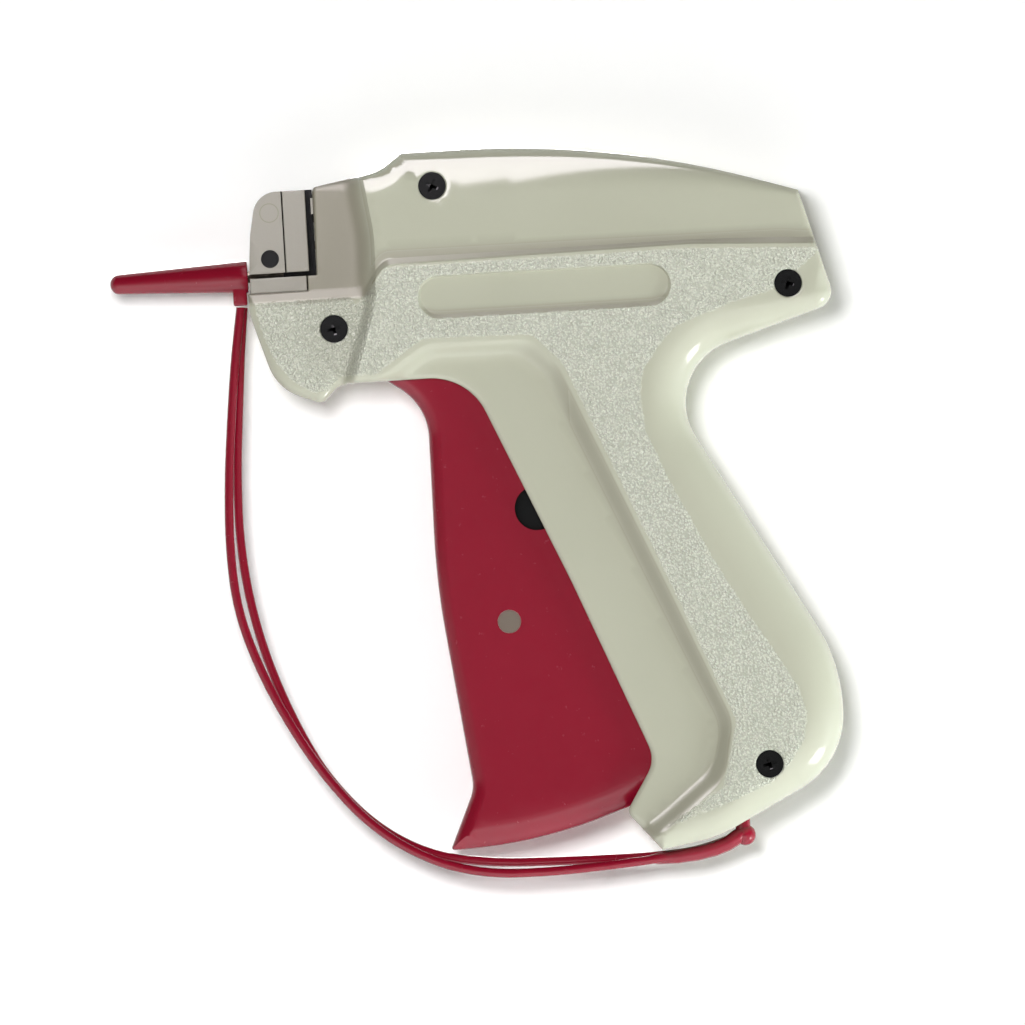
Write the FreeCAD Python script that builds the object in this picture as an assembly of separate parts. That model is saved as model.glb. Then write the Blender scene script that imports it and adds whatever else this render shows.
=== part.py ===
"""Garment tag attacher: a hand-held gun that drives plastic fasteners through cloth.

Frame, in millimetres: +X to the rear, +Y to the gun's right side, +Z up. The
origin is the middle of the hand grip. The needle points along -X.
"""
import FreeCAD, Part
import math
import os

V = FreeCAD.Vector

# ---------------------------------------------------------------- housing sizes
HALF_BODY = 13.5        # middle plane to the grained side panels
HALF_BARREL = HALF_BODY - 1.2   # to the smooth sides above the ridge
HALF_RECESS = HALF_BODY - 2.6   # to the floor of the finger recess
HALF_NOSE = HALF_BODY - 3.9     # to the grained sides of the nose
HALF_NECK = HALF_NOSE - 0.7     # to the smooth sides round the feed slot
WALL = 2.2              # wall of the two shells
EDGE_BEVEL = 2.7        # bevel along the outer edges of the shells
NOSE_BEVEL = 1.0
BADGE_LENGTH = 50.4     # bare sunk panel on each side
BADGE_HEIGHT = 8.0
BADGE_DEPTH = 0.9
BADGE_CENTRE = (-19.0, 55.3)

# ---------------------------------------------------------------- head sizes
HALF_HEAD = HALF_NECK - 0.4     # to the sides of the head blocks
HEAD_FRONT = -78.65     # front face of the head
HEAD_TOP = 78.1
HEAD_FLOOR = 57.9       # seat of the head on the nose
NOSE_FRONT = -79.1
HOUSING_FRONT = -65.1   # rear face of the feed slot
HOUSING_TOP = 78.5
FEED_SLOT = 1.5         # width of the upright slot for the fastener clip
THREAD_SLOT = 0.9       # height of the slot that lets the filament out
BLOCK_SPLIT = -71.4     # joint between front block and feed guide
PLATE_IN = 2.6          # inner face of the head frame's side plate
FIT = 0.05              # gap between fixed pieces that are laid together
BAR_RADIUS = 0.95       # channel for the fastener's cross bar
NEEDLE_Z = 61.4
NEEDLE_RADIUS = 1.2
NEEDLE_BORE = 0.85
NEEDLE_TIP = -99.0
NEEDLE_BEVEL = 4.0
HOLDER_HALF = 1.9
HOLDER_BACK = -71.7

# ---------------------------------------------------------------- mechanism sizes
TRIGGER_AXIS = (-44.25, 47.71)
TRIGGER_TRAVEL = 20.0           # degrees
TRIGGER_HALF = HALF_RECESS - 2.9
TRIGGER_WALL = 2.3
TRIGGER_BEVEL = 1.7
TRIGGER_REACH = 102.6           # axis to the trigger's foot
TRIGGER_FOOT = TRIGGER_AXIS[1] - TRIGGER_REACH
TRIGGER_PIN_RADIUS = 2.5
HUB_RADIUS = 7.4
LINK_PIN = (-30.8, -10.5)
LINK_PIN_RADIUS = 2.3
STOP_RADIUS = 41.2              # trigger axis to the lever axis
STOP_ANGLE = -40.3              # degrees, of the lever axis seen from there
STOP_BOSS_RADIUS = 4.0
STOP_GAP = 0.45
LEVER_PIN_RADIUS = 1.75
LEVER_HALF = 2.0
LEVER_HUB_RADIUS = 6.4
LEVER_SWING = 32.4              # degrees for a full pull
LEVER_LOBE = (-22.6, 11.4)      # lobe that closes the trigger's slot from behind
LEVER_LOBE_RADIUS = 6.6
SPRING_WIRE = 0.9
SPRING_TURNS = 2
SPRING_FOOT = 25.6              # lever axis to the leg's rest on the grip's back wall
SPRING_FOOT_ANGLE = -18.5
SPRING_HOOK = 14.0
SPRING_HOOK_OUT = 6.2
SLIDE_STROKE = 33.0
SLIDE_PIN_BEHIND = 38.0         # slide pin behind the lever axis at rest
SLIDE_PIN_RADIUS = 1.5
SLIDE_HALF = 6.0
SLIDE_HALF_HEIGHT = 3.0
SLIDE_FRONT = 14.0              # pin to the slide's front face
SLIDE_REAR = 4.0
SLIDE_SLOT = 9.5                # pin to the front of the lever's slot in it
ROD_RADIUS = 0.8
ROD_TIP = -61.9
RUN = 0.06                      # radial gap of running fits
CLEAR = 0.35                    # gap between moving pieces
WHEEL_AXIS = (3.7, 67.0)        # Y and Z of the feed wheel's axle
WHEEL_RADIUS = 3.3
WHEEL_TEETH = 12
WHEEL_NOTCH = 0.8               # depth of the gaps between its teeth
AXLE_RADIUS = 0.8
ROCKER_SWING = 30.0
ARM_LENGTH = 7.2
ARM_HALF = 0.7
FEED_STRIP = (71.7, 73.8)       # lower and upper edge of the feed link
FEED_STRIP_THICK = 0.8
LINK_STROKE = 3.5
LOCK_AXIS = (-74.3, 64.7)
LOCK_RADIUS = 1.75

# ---------------------------------------------------------------- screws, strap
SCREWS = {                      # place, and distance of the surface round it
    "barrel": (-41.1, 77.4, HALF_BARREL),
    "nose": (-62.35, 50.0, HALF_NOSE),
    "tail": (28.84, 53.8, HALF_BODY),
    "heel": (19.5, -42.0, HALF_BODY),
}
SCREW_HEAD_RADIUS = 2.6
SCREW_HEAD_HEIGHT = 1.9
SCREW_SUNK = 1.0
SCREW_RADIUS = 1.4
SCREW_PAST_MIDDLE = 6.5
SINK_RADIUS = 2.8
BOSS_RADIUS = 3.3
CORD_RADIUS = 0.9
CORD_APART = 1.05               # middle plane to each strand


# ---------------------------------------------------------------- small helpers
def at(point, y=0.0):
    return V(point[0], y, point[1])


def rounded_edges(corners):
    """Edges of a closed outline in the XZ plane, from corners (x, z, radius)."""
    edges = []
    count = len(corners)
    ends = []
    for i, (x, z, radius) in enumerate(corners):
        here = V(x, 0, z)
        back = V(corners[i - 1][0], 0, corners[i - 1][1]) - here
        on = V(corners[(i + 1) % count][0], 0, corners[(i + 1) % count][1]) - here
        back.normalize()
        on.normalize()
        if radius <= 0:
            ends.append((here, here, None))
            continue
        half = back.getAngle(on) / 2
        reach = radius / math.tan(half)
        middle = (back + on).normalize()
        centre = here + middle * (radius / math.sin(half))
        ends.append((here + back * reach, here + on * reach, centre - middle * radius))
    for i, (start, end, crown) in enumerate(ends):
        if crown is not None:
            edges.append(Part.Arc(start, crown, end).toShape())
        following = ends[(i + 1) % count][0]
        if (following - end).Length > 1e-6:
            edges.append(Part.LineSegment(end, following).toShape())
    return edges


def rounded(corners):
    return Part.Wire(rounded_edges(corners))


def sloped(low_corners, low_y, high_corners, high_y):
    """Solid with sloped sides between two outlines that have matching corners."""
    low = rounded_edges(low_corners)
    high = rounded_edges(high_corners)
    for edge in low:
        edge.translate(V(0, low_y, 0))
    for edge in high:
        edge.translate(V(0, high_y, 0))
    faces = [Part.makeRuledSurface(a, b) for a, b in zip(low, high)]
    faces += [Part.Face(Part.Wire(low)), Part.Face(Part.Wire(high))]
    solid = Part.Solid(Part.Shell(faces))
    if solid.Volume < 0:
        solid.reverse()
    return solid


def slab(wire, y0, y1):
    """Solid between two planes across Y, from a wire in the XZ plane."""
    face = Part.Face(wire)
    face.translate(V(0, y0, 0))
    return face.extrude(V(0, y1 - y0, 0))


def box(x0, x1, y0, y1, z0, z1):
    return Part.makeBox(x1 - x0, y1 - y0, z1 - z0, V(x0, y0, z0))


def rod_y(centre, radius, y0, y1):
    return Part.makeCylinder(radius, y1 - y0, at(centre, y0), V(0, 1, 0))


def rod_x(y, z, radius, x0, x1):
    return Part.makeCylinder(radius, x1 - x0, V(x0, y, z), V(1, 0, 0))


def polar(centre, radius, degrees):
    angle = math.radians(degrees)
    return (centre[0] + radius * math.cos(angle), centre[1] + radius * math.sin(angle))


def turned(point, centre, degrees):
    """A point of the XZ plane turned from +X towards +Z."""
    angle = math.radians(degrees)
    x, z = point[0] - centre[0], point[1] - centre[1]
    return (centre[0] + x * math.cos(angle) - z * math.sin(angle),
            centre[1] + x * math.sin(angle) + z * math.cos(angle))


def band(path, half, y0, y1, end_parts=8):
    """Flat bar with round ends that follows a few points of the XZ plane."""
    sides = ([], [])
    last = len(path) - 1
    for i, (x, z) in enumerate(path):
        a, b = path[max(i - 1, 0)], path[min(i + 1, last)]
        run = math.hypot(b[0] - a[0], b[1] - a[1])
        nx, nz = -(b[1] - a[1]) / run * half, (b[0] - a[0]) / run * half
        sides[0].append((x + nx, z + nz))
        sides[1].append((x - nx, z - nz))
    points = list(sides[0])
    points += [turned(sides[0][-1], path[-1], -180.0 * i / end_parts) for i in range(1, end_parts)]
    points += sides[1][::-1]
    points += [turned(sides[1][0], path[0], -180.0 * i / end_parts) for i in range(1, end_parts)]
    return slab(Part.makePolygon([at(p) for p in points + points[:1]]), y0, y1)


def many_sided(centre, radius, y0, y1, count=10):
    """Rod along Y with flat sides, for round forms that stay out of sight."""
    ring = [polar(centre, radius, 360.0 * (i + 0.5) / count) for i in range(count)]
    return slab(Part.makePolygon([at(p) for p in ring + ring[:1]]), y0, y1)


def ring_points(count, radius, centre, normal, side):
    """Corners of a many-sided ring with the area of a circle of that radius."""
    step = 2 * math.pi / count
    reach = radius * math.sqrt(step / math.sin(step))
    across = normal.cross(side).normalize()
    points = []
    for i in range(count):
        angle = step * (i + 0.5)
        points.append(centre + side * (reach * math.cos(angle)) + across * (reach * math.sin(angle)))
    return points


def ring_of(count, radius, centre, normal, side):
    points = ring_points(count, radius, centre, normal, side)
    return Part.makePolygon(points + points[:1])


def tapered(stations, foot, along, side, count):
    """Solid through many-sided rings, from (run, radius) pairs along a straight axis."""
    rings = [ring_points(count, radius, foot + along * run, along, side) for run, radius in stations]
    faces = [Part.Face(Part.makePolygon(ring + ring[:1])) for ring in (rings[0], rings[-1])]
    for low, high in zip(rings, rings[1:]):
        for i in range(count):
            corners = [low[i - 1], low[i], high[i], high[i - 1], low[i - 1]]
            faces.append(Part.Face(Part.makePolygon(corners)))
    solid = Part.Solid(Part.Shell(faces))
    if solid.Volume < 0:
        solid.reverse()
    return solid


def joined(shapes):
    whole = shapes[0]
    for shape in shapes[1:]:
        whole = whole.fuse(shape)
    return whole.removeSplitter()


def flipped(shape):
    """The same shape on the gun's other side."""
    return shape.mirror(V(0, 0, 0), V(0, 1, 0))


def side_edges(shape, y, inside):
    """Edges that lie in the plane at y and whose middle passes a test."""
    found = []
    for edge in shape.Edges:
        box_ = edge.BoundBox
        if abs(box_.YMin - y) < 1e-4 and abs(box_.YMax - y) < 1e-4:
            middle = edge.valueAt((edge.FirstParameter + edge.LastParameter) / 2)
            if inside(middle.x, middle.z):
                found.append(edge)
    return found


def save(name, shape):
    solids = shape.Solids
    shape = solids[0] if len(solids) == 1 else Part.makeCompound(solids)
    shape.exportStep("parts/%s.step" % name)
    print("%-20s solids %d volume %9.1f valid %s" % (
        name, len(solids), shape.Volume, shape.isValid()))


# ---------------------------------------------------------------- outlines
LEVER_AXIS = polar(TRIGGER_AXIS, STOP_RADIUS, STOP_ANGLE)
GUIDE_BACK = HOUSING_FRONT - FEED_SLOT
THREAD_TOP = NEEDLE_Z + THREAD_SLOT / 2
THREAD_FLOOR = NEEDLE_Z - THREAD_SLOT / 2
SHELF_FRONT = GUIDE_BACK - 0.4

NECK_END = (-51.5, 80.9)        # where the neck's top line turns up to the barrel
BARREL_TOP = [(NECK_END[0], NECK_END[1], 10.0), (-47.0, 84.3, EDGE_BEVEL + 0.3), (-5.6, 84.4, 190.0),
              (31.9, 72.3, 0)]
TAIL = [(38.2, 49.5, 3.6), (0.86, 38.0, 12.8)]
HEEL = [(34.8, -22.4, 34.0), (34.8, -42.5, 17.0), (8.4, -56.0, 25.0), (-2.9, -57.9, 0)]
LIP = [(-9.6, -49.9, 0), (-3.35, -39.8, 6.0)]
GRIP_FRONT = [(-17.9, -3.3, 200.0), (-36.2, 39.0, 12.0)]
NOSE_UNDER = [(-61.9, 38.95, 5.0), (-65.4, 35.1, 2.0), (-74.4, 38.7, 10.0),
              (NOSE_FRONT, 54.0, 8.0), (NOSE_FRONT, HEAD_FLOOR, 0)]
SHELF = [(SHELF_FRONT, HEAD_FLOOR, 0), (SHELF_FRONT, THREAD_FLOOR, 0),
         (HOUSING_FRONT, THREAD_FLOOR, 0)]
CREASE_TOP = -57.4
NOSE_BACK = -50.0


def neck_top(x):
    """Point of the neck's sloping top line."""
    slope = (NECK_END[1] - HOUSING_TOP) / (NECK_END[0] - HOUSING_FRONT)
    return (x, HOUSING_TOP + (x - HOUSING_FRONT) * slope)


CREASE = [(-61.6, 39.0, 0), (-56.2, 55.0, 20.0), (-55.8, 68.0, 30.0), neck_top(CREASE_TOP) + (0,)]
BODY = rounded(BARREL_TOP + TAIL + HEEL + LIP + GRIP_FRONT + CREASE)
NOSE = rounded([(HOUSING_FRONT, HOUSING_TOP, 0.8), neck_top(NOSE_BACK) + (0,), (NOSE_BACK, 39.0, 0)]
               + NOSE_UNDER + SHELF)

RECESS_EDGE = [(-60.0, 36.0), (-51.6, 41.5), (-44.4, 46.2), (-23.0, 45.8), (-17.6, 39.6),
               (3.4, -10.0), (12.9, -33.0), (10.6, -44.8), (0.0, -53.2), (-14.0, -62.0),
               (-30.0, -20.0)]
RECESS_FLOOR = [(-58.0, 33.0), (-48.0, 39.5), (-43.0, 42.8), (-26.0, 42.8), (-21.2, 38.6),
                (0.0, -11.0), (9.9, -34.0), (8.0, -41.6), (-2.0, -49.6), (-16.0, -60.0),
                (-32.0, -20.0)]
RECESS_RADII = [0, 0, 6.0, 5.0, 4.0, 100.0, 9.0, 7.0, 0, 0, 0]


def with_radii(points, radii):
    return [(x, z, r) for (x, z), r in zip(points, radii)]


def recess_cutter():
    """Sloped pocket that the fingers reach over to the trigger."""
    return sloped(with_radii(RECESS_FLOOR, RECESS_RADII), HALF_RECESS,
                  with_radii(RECESS_EDGE, RECESS_RADII), HALF_BODY + 0.02)


def barrel_cutter():
    """Takes the sides above the ridge back to the barrel's own width."""
    ridge = [(-70.0, 58.0), (-57.0, 58.0), (-51.0, 62.2), (29.0, 62.4), (50.0, 60.6),
             (50.0, 95.0), (-70.0, 95.0)]
    foot = [(-70.0, 60.0), (-56.0, 60.4), (-50.0, 64.9), (28.0, 65.2), (50.0, 63.4),
            (50.0, 95.0), (-70.0, 95.0)]
    radii = [0, 0, 2.0, 20.0, 0, 0, 0]
    return sloped(with_radii(foot, radii), HALF_BARREL, with_radii(ridge, radii), HALF_BODY + 0.02)


def badge_cutter():
    half = BADGE_HEIGHT / 2
    x, z = BADGE_CENTRE
    ends = BADGE_LENGTH / 2
    wire = rounded([(x - ends, z + half, half - 0.02), (x + ends, z + half, half - 0.02),
                    (x + ends, z - half, half - 0.02), (x - ends, z - half, half - 0.02)])
    return slab(wire, HALF_BODY - BADGE_DEPTH, HALF_BODY + 1)


def trigger_way():
    """Room for the trigger's whole swing between the shells."""
    mouth = rounded([(-54.3, 30.0, 0), (-54.3, 43.0, 2.0), (-30.0, 43.0, 4.0),
                     (-9.0, 0.0, 40.0), (6.0, -38.0, 3.0), (0.0, -60.0, 0), (-30.0, -60.0, 0)])
    sweep = rod_y(TRIGGER_AXIS, TRIGGER_REACH + 1.3, 0, HALF_BODY)
    way = slab(mouth, 0, TRIGGER_HALF + CLEAR).common(sweep)
    return way


def shell():
    """One housing half on the +Y side, before the holes that differ."""
    body = slab(BODY, 0, HALF_BODY)
    rim = side_edges(body, HALF_BODY, lambda x, z: True)
    body = body.makeChamfer(EDGE_BEVEL, rim)
    body = body.cut(recess_cutter()).cut(barrel_cutter()).cut(badge_cutter())
    nose = slab(NOSE, 0, HALF_NOSE)
    rim = side_edges(nose, HALF_NOSE, lambda x, z: x < HOUSING_FRONT - 1 and z < HEAD_FLOOR - 0.5)
    nose = nose.makeChamfer(NOSE_BEVEL, rim)
    neck = box(-90, NOSE_BACK + 1, HALF_NECK, HALF_NOSE + 1, HEAD_FLOOR - 1.6, 90)
    nose = nose.cut(neck)
    outer = body.fuse(nose).removeSplitter()

    inner = Part.Face(BODY).makeOffset2D(-WALL)
    room = inner.extrude(V(0, HALF_BODY - WALL, 0))
    recess = Part.Face(rounded(with_radii(RECESS_EDGE, RECESS_RADII))).makeOffset2D(WALL * 0.6)
    recess.translate(V(0, HALF_RECESS - WALL, 0))
    room = room.cut(recess.extrude(V(0, HALF_BODY, 0)))
    top = box(-80, 60, HALF_BARREL - WALL, 20, 61.0, 100)
    badge = box(BADGE_CENTRE[0] - BADGE_LENGTH / 2 - 1, BADGE_CENTRE[0] + BADGE_LENGTH / 2 + 1,
                HALF_BODY - BADGE_DEPTH - WALL, 20, 50.0, 62.0)
    room = room.cut(top).cut(badge)
    nose_room = Part.Face(NOSE).makeOffset2D(-WALL).extrude(V(0, HALF_NECK - WALL, 0))
    link = box(NOSE_BACK - 4, NOSE_BACK + 4, 0, HALF_NECK - WALL, 44.0, 76.5)
    outer = outer.cut(room).cut(nose_room).cut(link).cut(trigger_way())
    return outer


# ---------------------------------------------------------------- housing halves
SLIDE_PIN = (LEVER_AXIS[0] + SLIDE_PIN_BEHIND, NEEDLE_Z)
SLIDE_NOSE = SLIDE_PIN[0] - SLIDE_FRONT
SLIDE_END = SLIDE_NOSE - SLIDE_STROKE
RAIL_TOP = NEEDLE_Z + SLIDE_HALF_HEIGHT + CLEAR
RAIL_FLOOR = NEEDLE_Z - SLIDE_HALF_HEIGHT - CLEAR
RAIL_THICK = 1.5
RAIL_IN = 3.3                   # inner edge of the rails, beside the lever
BUFFER_THICK = 2.0
BUFFER_HALF = 3.2
WEB_THICK = 2.0
BUFFER_BACK = SLIDE_END - CLEAR
BUFFER_FRONT = BUFFER_BACK - BUFFER_THICK
BRIDGE_BACK = -56.6             # rear of the web that holds the feed axle
BRIDGE_THICK = 1.8
ANCHOR = (13.4, -56.5)          # centre of the strap's knob
ANCHOR_RADIUS = 2.4
STEM_RADIUS = 1.5
STEM_HEAD_RADIUS = 2.5
STEM_TOP = ANCHOR[1] + 7.6


def ribs():
    """What the +Y half carries inside: rails, webs, and seats for the pins."""
    rail_x = (BUFFER_FRONT, 30.0)
    deep = HALF_BARREL - WALL / 2
    parts = [
        box(rail_x[0], rail_x[1], RAIL_IN, deep, RAIL_TOP, RAIL_TOP + RAIL_THICK),
        box(rail_x[0], rail_x[1], RAIL_IN, deep, RAIL_FLOOR - RAIL_THICK, RAIL_FLOOR),
        many_sided(TRIGGER_AXIS, TRIGGER_PIN_RADIUS + 2.2, TRIGGER_HALF + CLEAR,
                   HALF_RECESS - WALL / 2),
        many_sided(LEVER_AXIS, STOP_BOSS_RADIUS, LEVER_HALF + CLEAR, HALF_RECESS - WALL / 2, 20),
    ]
    for x in (BUFFER_FRONT - WEB_THICK, -46.0):
        web = box(x, x + WEB_THICK, 0, deep, RAIL_FLOOR - RAIL_THICK, RAIL_TOP + RAIL_THICK)
        parts.append(web.cut(rod_x(0, NEEDLE_Z, ROD_RADIUS + CLEAR, x - 1, x + WEB_THICK + 1)))
    for x, z, half in SCREWS.values():
        parts.append(many_sided((x, z), BOSS_RADIUS, 0, half - WALL / 2))
    return parts


def front_wall():
    """Wall behind the feed slot and the shelf under it, on the +Y side."""
    wall = box(HOUSING_FRONT, HOUSING_FRONT + WALL + 1.7, 0, HALF_NECK - 1, HEAD_FLOOR, HOUSING_TOP - 1)
    return wall


def half_housing():
    outer = shell().fuse(ribs() + [front_wall()])
    cuts = [
        rod_x(0, NEEDLE_Z, BAR_RADIUS, SHELF_FRONT - 1, HOUSING_FRONT + 8),
        box(HOUSING_FRONT - 1, HOUSING_FRONT + 3.2, 0, BAR_RADIUS, NEEDLE_Z, HOUSING_TOP + 3),
        rod_y(TRIGGER_AXIS, TRIGGER_PIN_RADIUS + 0.02, 0, HALF_RECESS - 1.0),
        rod_y(LEVER_AXIS, LEVER_PIN_RADIUS + 0.02, 0, HALF_RECESS - 1.0),
        Part.makeCylinder(STEM_RADIUS + 0.05, 30, V(ANCHOR[0], 0, ANCHOR[1] - 10), V(0, 0, 1)),
    ]
    return outer.cut(cuts)


def left_housing():
    """Half seen from the gun's left: screw heads sink into it."""
    half = half_housing()
    for x, z, level in SCREWS.values():
        half = half.cut(many_sided((x, z), SCREW_RADIUS + 0.15, -1, level + 1))
        seat = level - SCREW_SUNK - SCREW_HEAD_HEIGHT
        half = half.cut(rod_y((x, z), SINK_RADIUS, seat, level + 3))
    return flipped(half)


def right_housing():
    half = half_housing()
    for x, z, level in SCREWS.values():
        half = half.cut(many_sided((x, z), SCREW_RADIUS + 0.02, -1, SCREW_PAST_MIDDLE + 0.3))
    y, z = WHEEL_AXIS
    pocket = box(HOUSING_FRONT + 0.3, BRIDGE_BACK - BRIDGE_THICK, 0, y + WHEEL_RADIUS + CLEAR,
                 z - WHEEL_RADIUS - CLEAR, z + WHEEL_RADIUS + CLEAR)
    tongues = head_tongues(0.1)
    foot_way = box(LINK_BACK - LINK_FOOT - LINK_STROKE - CLEAR, LINK_BACK + CLEAR, 0,
                   LINK_OUT + CLEAR, NEEDLE_Z, RAIL_TOP + RAIL_THICK + 1)
    tip_way = box(LINK_TIP - LINK_STROKE - CLEAR, LINK_TIP, LINK_IN - 1.8, LINK_OUT + CLEAR,
                  FEED_STRIP[0] - CLEAR, FEED_STRIP[1] + CLEAR)
    plate_way = box(SHELF_FRONT - 1, HOUSING_FRONT, PLATE_IN - FIT, HALF_NOSE + 1,
                    HEAD_FLOOR, THREAD_FLOOR + 1)
    bridge = box(BRIDGE_BACK - BRIDGE_THICK, BRIDGE_BACK, y - 2.2, HALF_NECK - WALL / 2,
                 z - 5.0, z + 2.4)
    bridge = bridge.cut(rod_x(y, z, AXLE_RADIUS + 0.02, BRIDGE_BACK - 5, BRIDGE_BACK + 1))
    way = rod_x(y, z, AXLE_RADIUS + CLEAR, HOUSING_FRONT - 1, BRIDGE_BACK - BRIDGE_THICK)
    return half.cut([pocket, way, foot_way, tip_way, plate_way] + tongues).fuse(bridge)


# ---------------------------------------------------------------- head
def head_outline(x0, x1, floor, top):
    """Side of a head block: upright, with the front top corner well rounded."""
    return rounded([(x0, floor, 0), (x1, floor, 0), (x1, top, 0), (x0 + 2.3, top, 4.8),
                    (x0 + 0.65, top - 8.3, 12.0)])


def head_tongues(gap):
    """Two tongues of the head frame that the right shell holds."""
    back = HOUSING_FRONT + 8.5
    return [
        box(HOUSING_FRONT - 0.5, back + gap, PLATE_IN - gap, 6.4 + gap, 75.6 - gap, 77.2 + gap),
        box(HOUSING_FRONT - 0.5, back + gap, PLATE_IN - gap, 6.4 + gap, 58.6 - gap, 60.4 + gap),
    ]


def head_frame():
    plate = slab(head_outline(HEAD_FRONT, HOUSING_FRONT - FIT, HEAD_FLOOR + FIT, HEAD_TOP),
                 PLATE_IN, HALF_HEAD)
    frame = plate.fuse(head_tongues(0))
    y, z = WHEEL_AXIS
    return frame.cut([
        rod_y(LOCK_AXIS, LOCK_RADIUS + RUN, 0, HALF_HEAD + 1),
        rod_x(y, z, AXLE_RADIUS + 0.02, HOUSING_FRONT - 3.4, HOUSING_FRONT + 1),
    ])


def front_block():
    block = slab(head_outline(HEAD_FRONT, BLOCK_SPLIT - FIT / 2, THREAD_TOP, HEAD_TOP),
                 -HALF_HEAD, PLATE_IN - FIT)
    return block.cut([
        rod_y(LOCK_AXIS, LOCK_RADIUS + RUN, -HALF_HEAD - 1, PLATE_IN),
        holder_block(FIT, 0.4),
        rod_x(0, NEEDLE_Z, BAR_RADIUS, HOLDER_BACK - 1, BLOCK_SPLIT + 1),
    ])


def feed_guide():
    block = box(BLOCK_SPLIT + FIT / 2, GUIDE_BACK, -HALF_HEAD, PLATE_IN - FIT, THREAD_TOP, HEAD_TOP)
    return block.cut([
        box(GUIDE_BACK - 3.2, GUIDE_BACK + 1, -BAR_RADIUS, BAR_RADIUS, NEEDLE_Z, HEAD_TOP + 1),
        rod_x(0, NEEDLE_Z, BAR_RADIUS, BLOCK_SPLIT - 1, GUIDE_BACK + 1),
        knife(FIT),
    ])


def needle_clamp():
    block = box(HEAD_FRONT + 0.1, SHELF_FRONT - FIT, -HALF_HEAD, PLATE_IN - FIT,
                HEAD_FLOOR + FIT, THREAD_FLOOR)
    return block.cut([
        holder_block(FIT, 0.05),
        rod_x(0, NEEDLE_Z, BAR_RADIUS, HOLDER_BACK - 1, SHELF_FRONT + 1),
    ])


def knife(gap):
    x = GUIDE_BACK - 0.9
    return box(x - gap, x + 0.45 + gap, -4.2 - gap, -BAR_RADIUS - 0.2 + gap,
               THREAD_TOP - gap, THREAD_TOP + 4.5 + gap)


def holder_block(gap, roof_gap):
    front = HEAD_FRONT - 1 if gap else HEAD_FRONT + 0.2
    return box(front, HOLDER_BACK + gap, -HOLDER_HALF - gap, HOLDER_HALF + gap,
               NEEDLE_Z - HOLDER_HALF - gap, NEEDLE_Z + 1.3 + roof_gap)


def needle_holder():
    block = holder_block(0, 0)
    slit = box(HEAD_FRONT - 1, HOLDER_BACK + 1, -HOLDER_HALF - 1, 0,
               NEEDLE_Z - 0.35, NEEDLE_Z + 0.35)
    return block.cut([rod_x(0, NEEDLE_Z, NEEDLE_RADIUS + 0.02, HEAD_FRONT - 1, HOLDER_BACK + 1), slit])


def needle():
    """Hollow needle with an open side and a sloping point."""
    tube = rod_x(0, NEEDLE_Z, NEEDLE_RADIUS, NEEDLE_TIP, HOLDER_BACK)
    bore = rod_x(0, NEEDLE_Z, NEEDLE_BORE, NEEDLE_TIP - 1, HOLDER_BACK + 1)
    slit = box(NEEDLE_TIP - 1, HOLDER_BACK + 1, -NEEDLE_RADIUS - 1, 0, NEEDLE_Z - 0.33, NEEDLE_Z + 0.33)
    wedge = Part.Face(Part.makePolygon([
        V(NEEDLE_TIP - 1, -4, NEEDLE_Z - NEEDLE_RADIUS - 0.3),
        V(NEEDLE_TIP - 1, -4, NEEDLE_Z + NEEDLE_RADIUS + 2),
        V(NEEDLE_TIP + NEEDLE_BEVEL + 1, -4, NEEDLE_Z + NEEDLE_RADIUS + 2),
        V(NEEDLE_TIP - 1, -4, NEEDLE_Z - NEEDLE_RADIUS - 0.3),
    ])).extrude(V(0, 8, 0))
    return tube.cut([bore, slit, wedge])


def lock_shaft():
    """Shaft that clamps the needle's foot by a flat cam in its middle."""
    shaft = rod_y(LOCK_AXIS, LOCK_RADIUS, -HALF_HEAD + 0.15, HALF_HEAD + 3.0)
    flat = box(LOCK_AXIS[0] - 3, LOCK_AXIS[0] + 3, -HOLDER_HALF - 0.3, HOLDER_HALF + 0.3,
               LOCK_AXIS[1] - 3, LOCK_AXIS[1] - LOCK_RADIUS + 0.35)
    return shaft.cut(flat)


def lock_knob():
    """Thumb lever on the shaft's right end."""
    x, z = LOCK_AXIS
    bar = band([(x, z), (x + 4.0, z + 4.4), (x + 7.6, z + 9.0)], 2.6, HALF_NECK + CLEAR, HALF_HEAD + 3.0)
    hub = rod_y(LOCK_AXIS, 3.6, HALF_HEAD + CLEAR, HALF_HEAD + 3.4)
    return bar.fuse(hub).cut(rod_y(LOCK_AXIS, LOCK_RADIUS, HALF_HEAD, HALF_HEAD + 3.0)).removeSplitter()


def clip_brake():
    """Leaf that keeps the fastener clip from sliding back out."""
    return box(HOUSING_FRONT - 0.45, HOUSING_FRONT - 0.02, -HALF_NECK + 0.6, -BAR_RADIUS - 0.5, 73.2, 76.4)


# ---------------------------------------------------------------- feed
def feed_wheel():
    """Star wheel that draws the clip down one bar at a time, with its ratchet."""
    y, z = WHEEL_AXIS
    front = HOUSING_FRONT + 0.6
    back = front + 2.6
    points = []
    for i in range(WHEEL_TEETH):
        for turn, radius in ((-0.26, WHEEL_RADIUS), (0.26, WHEEL_RADIUS), (0.5, WHEEL_RADIUS - WHEEL_NOTCH)):
            gy, gz = polar(WHEEL_AXIS, radius, 360.0 / WHEEL_TEETH * (i + turn))
            points.append(V(front, gy, gz))
    wheel = Part.Face(Part.makePolygon(points + points[:1])).extrude(V(back - front, 0, 0))
    wheel = wheel.fuse(tapered([(0, AXLE_RADIUS + 1.5), (0.9, AXLE_RADIUS + 1.5)],
                               V(back, y, z), V(1, 0, 0), V(0, 0, 1), 12))
    return wheel.cut(rod_x(y, z, AXLE_RADIUS + RUN, front - 1, back + 2)).removeSplitter()


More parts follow.
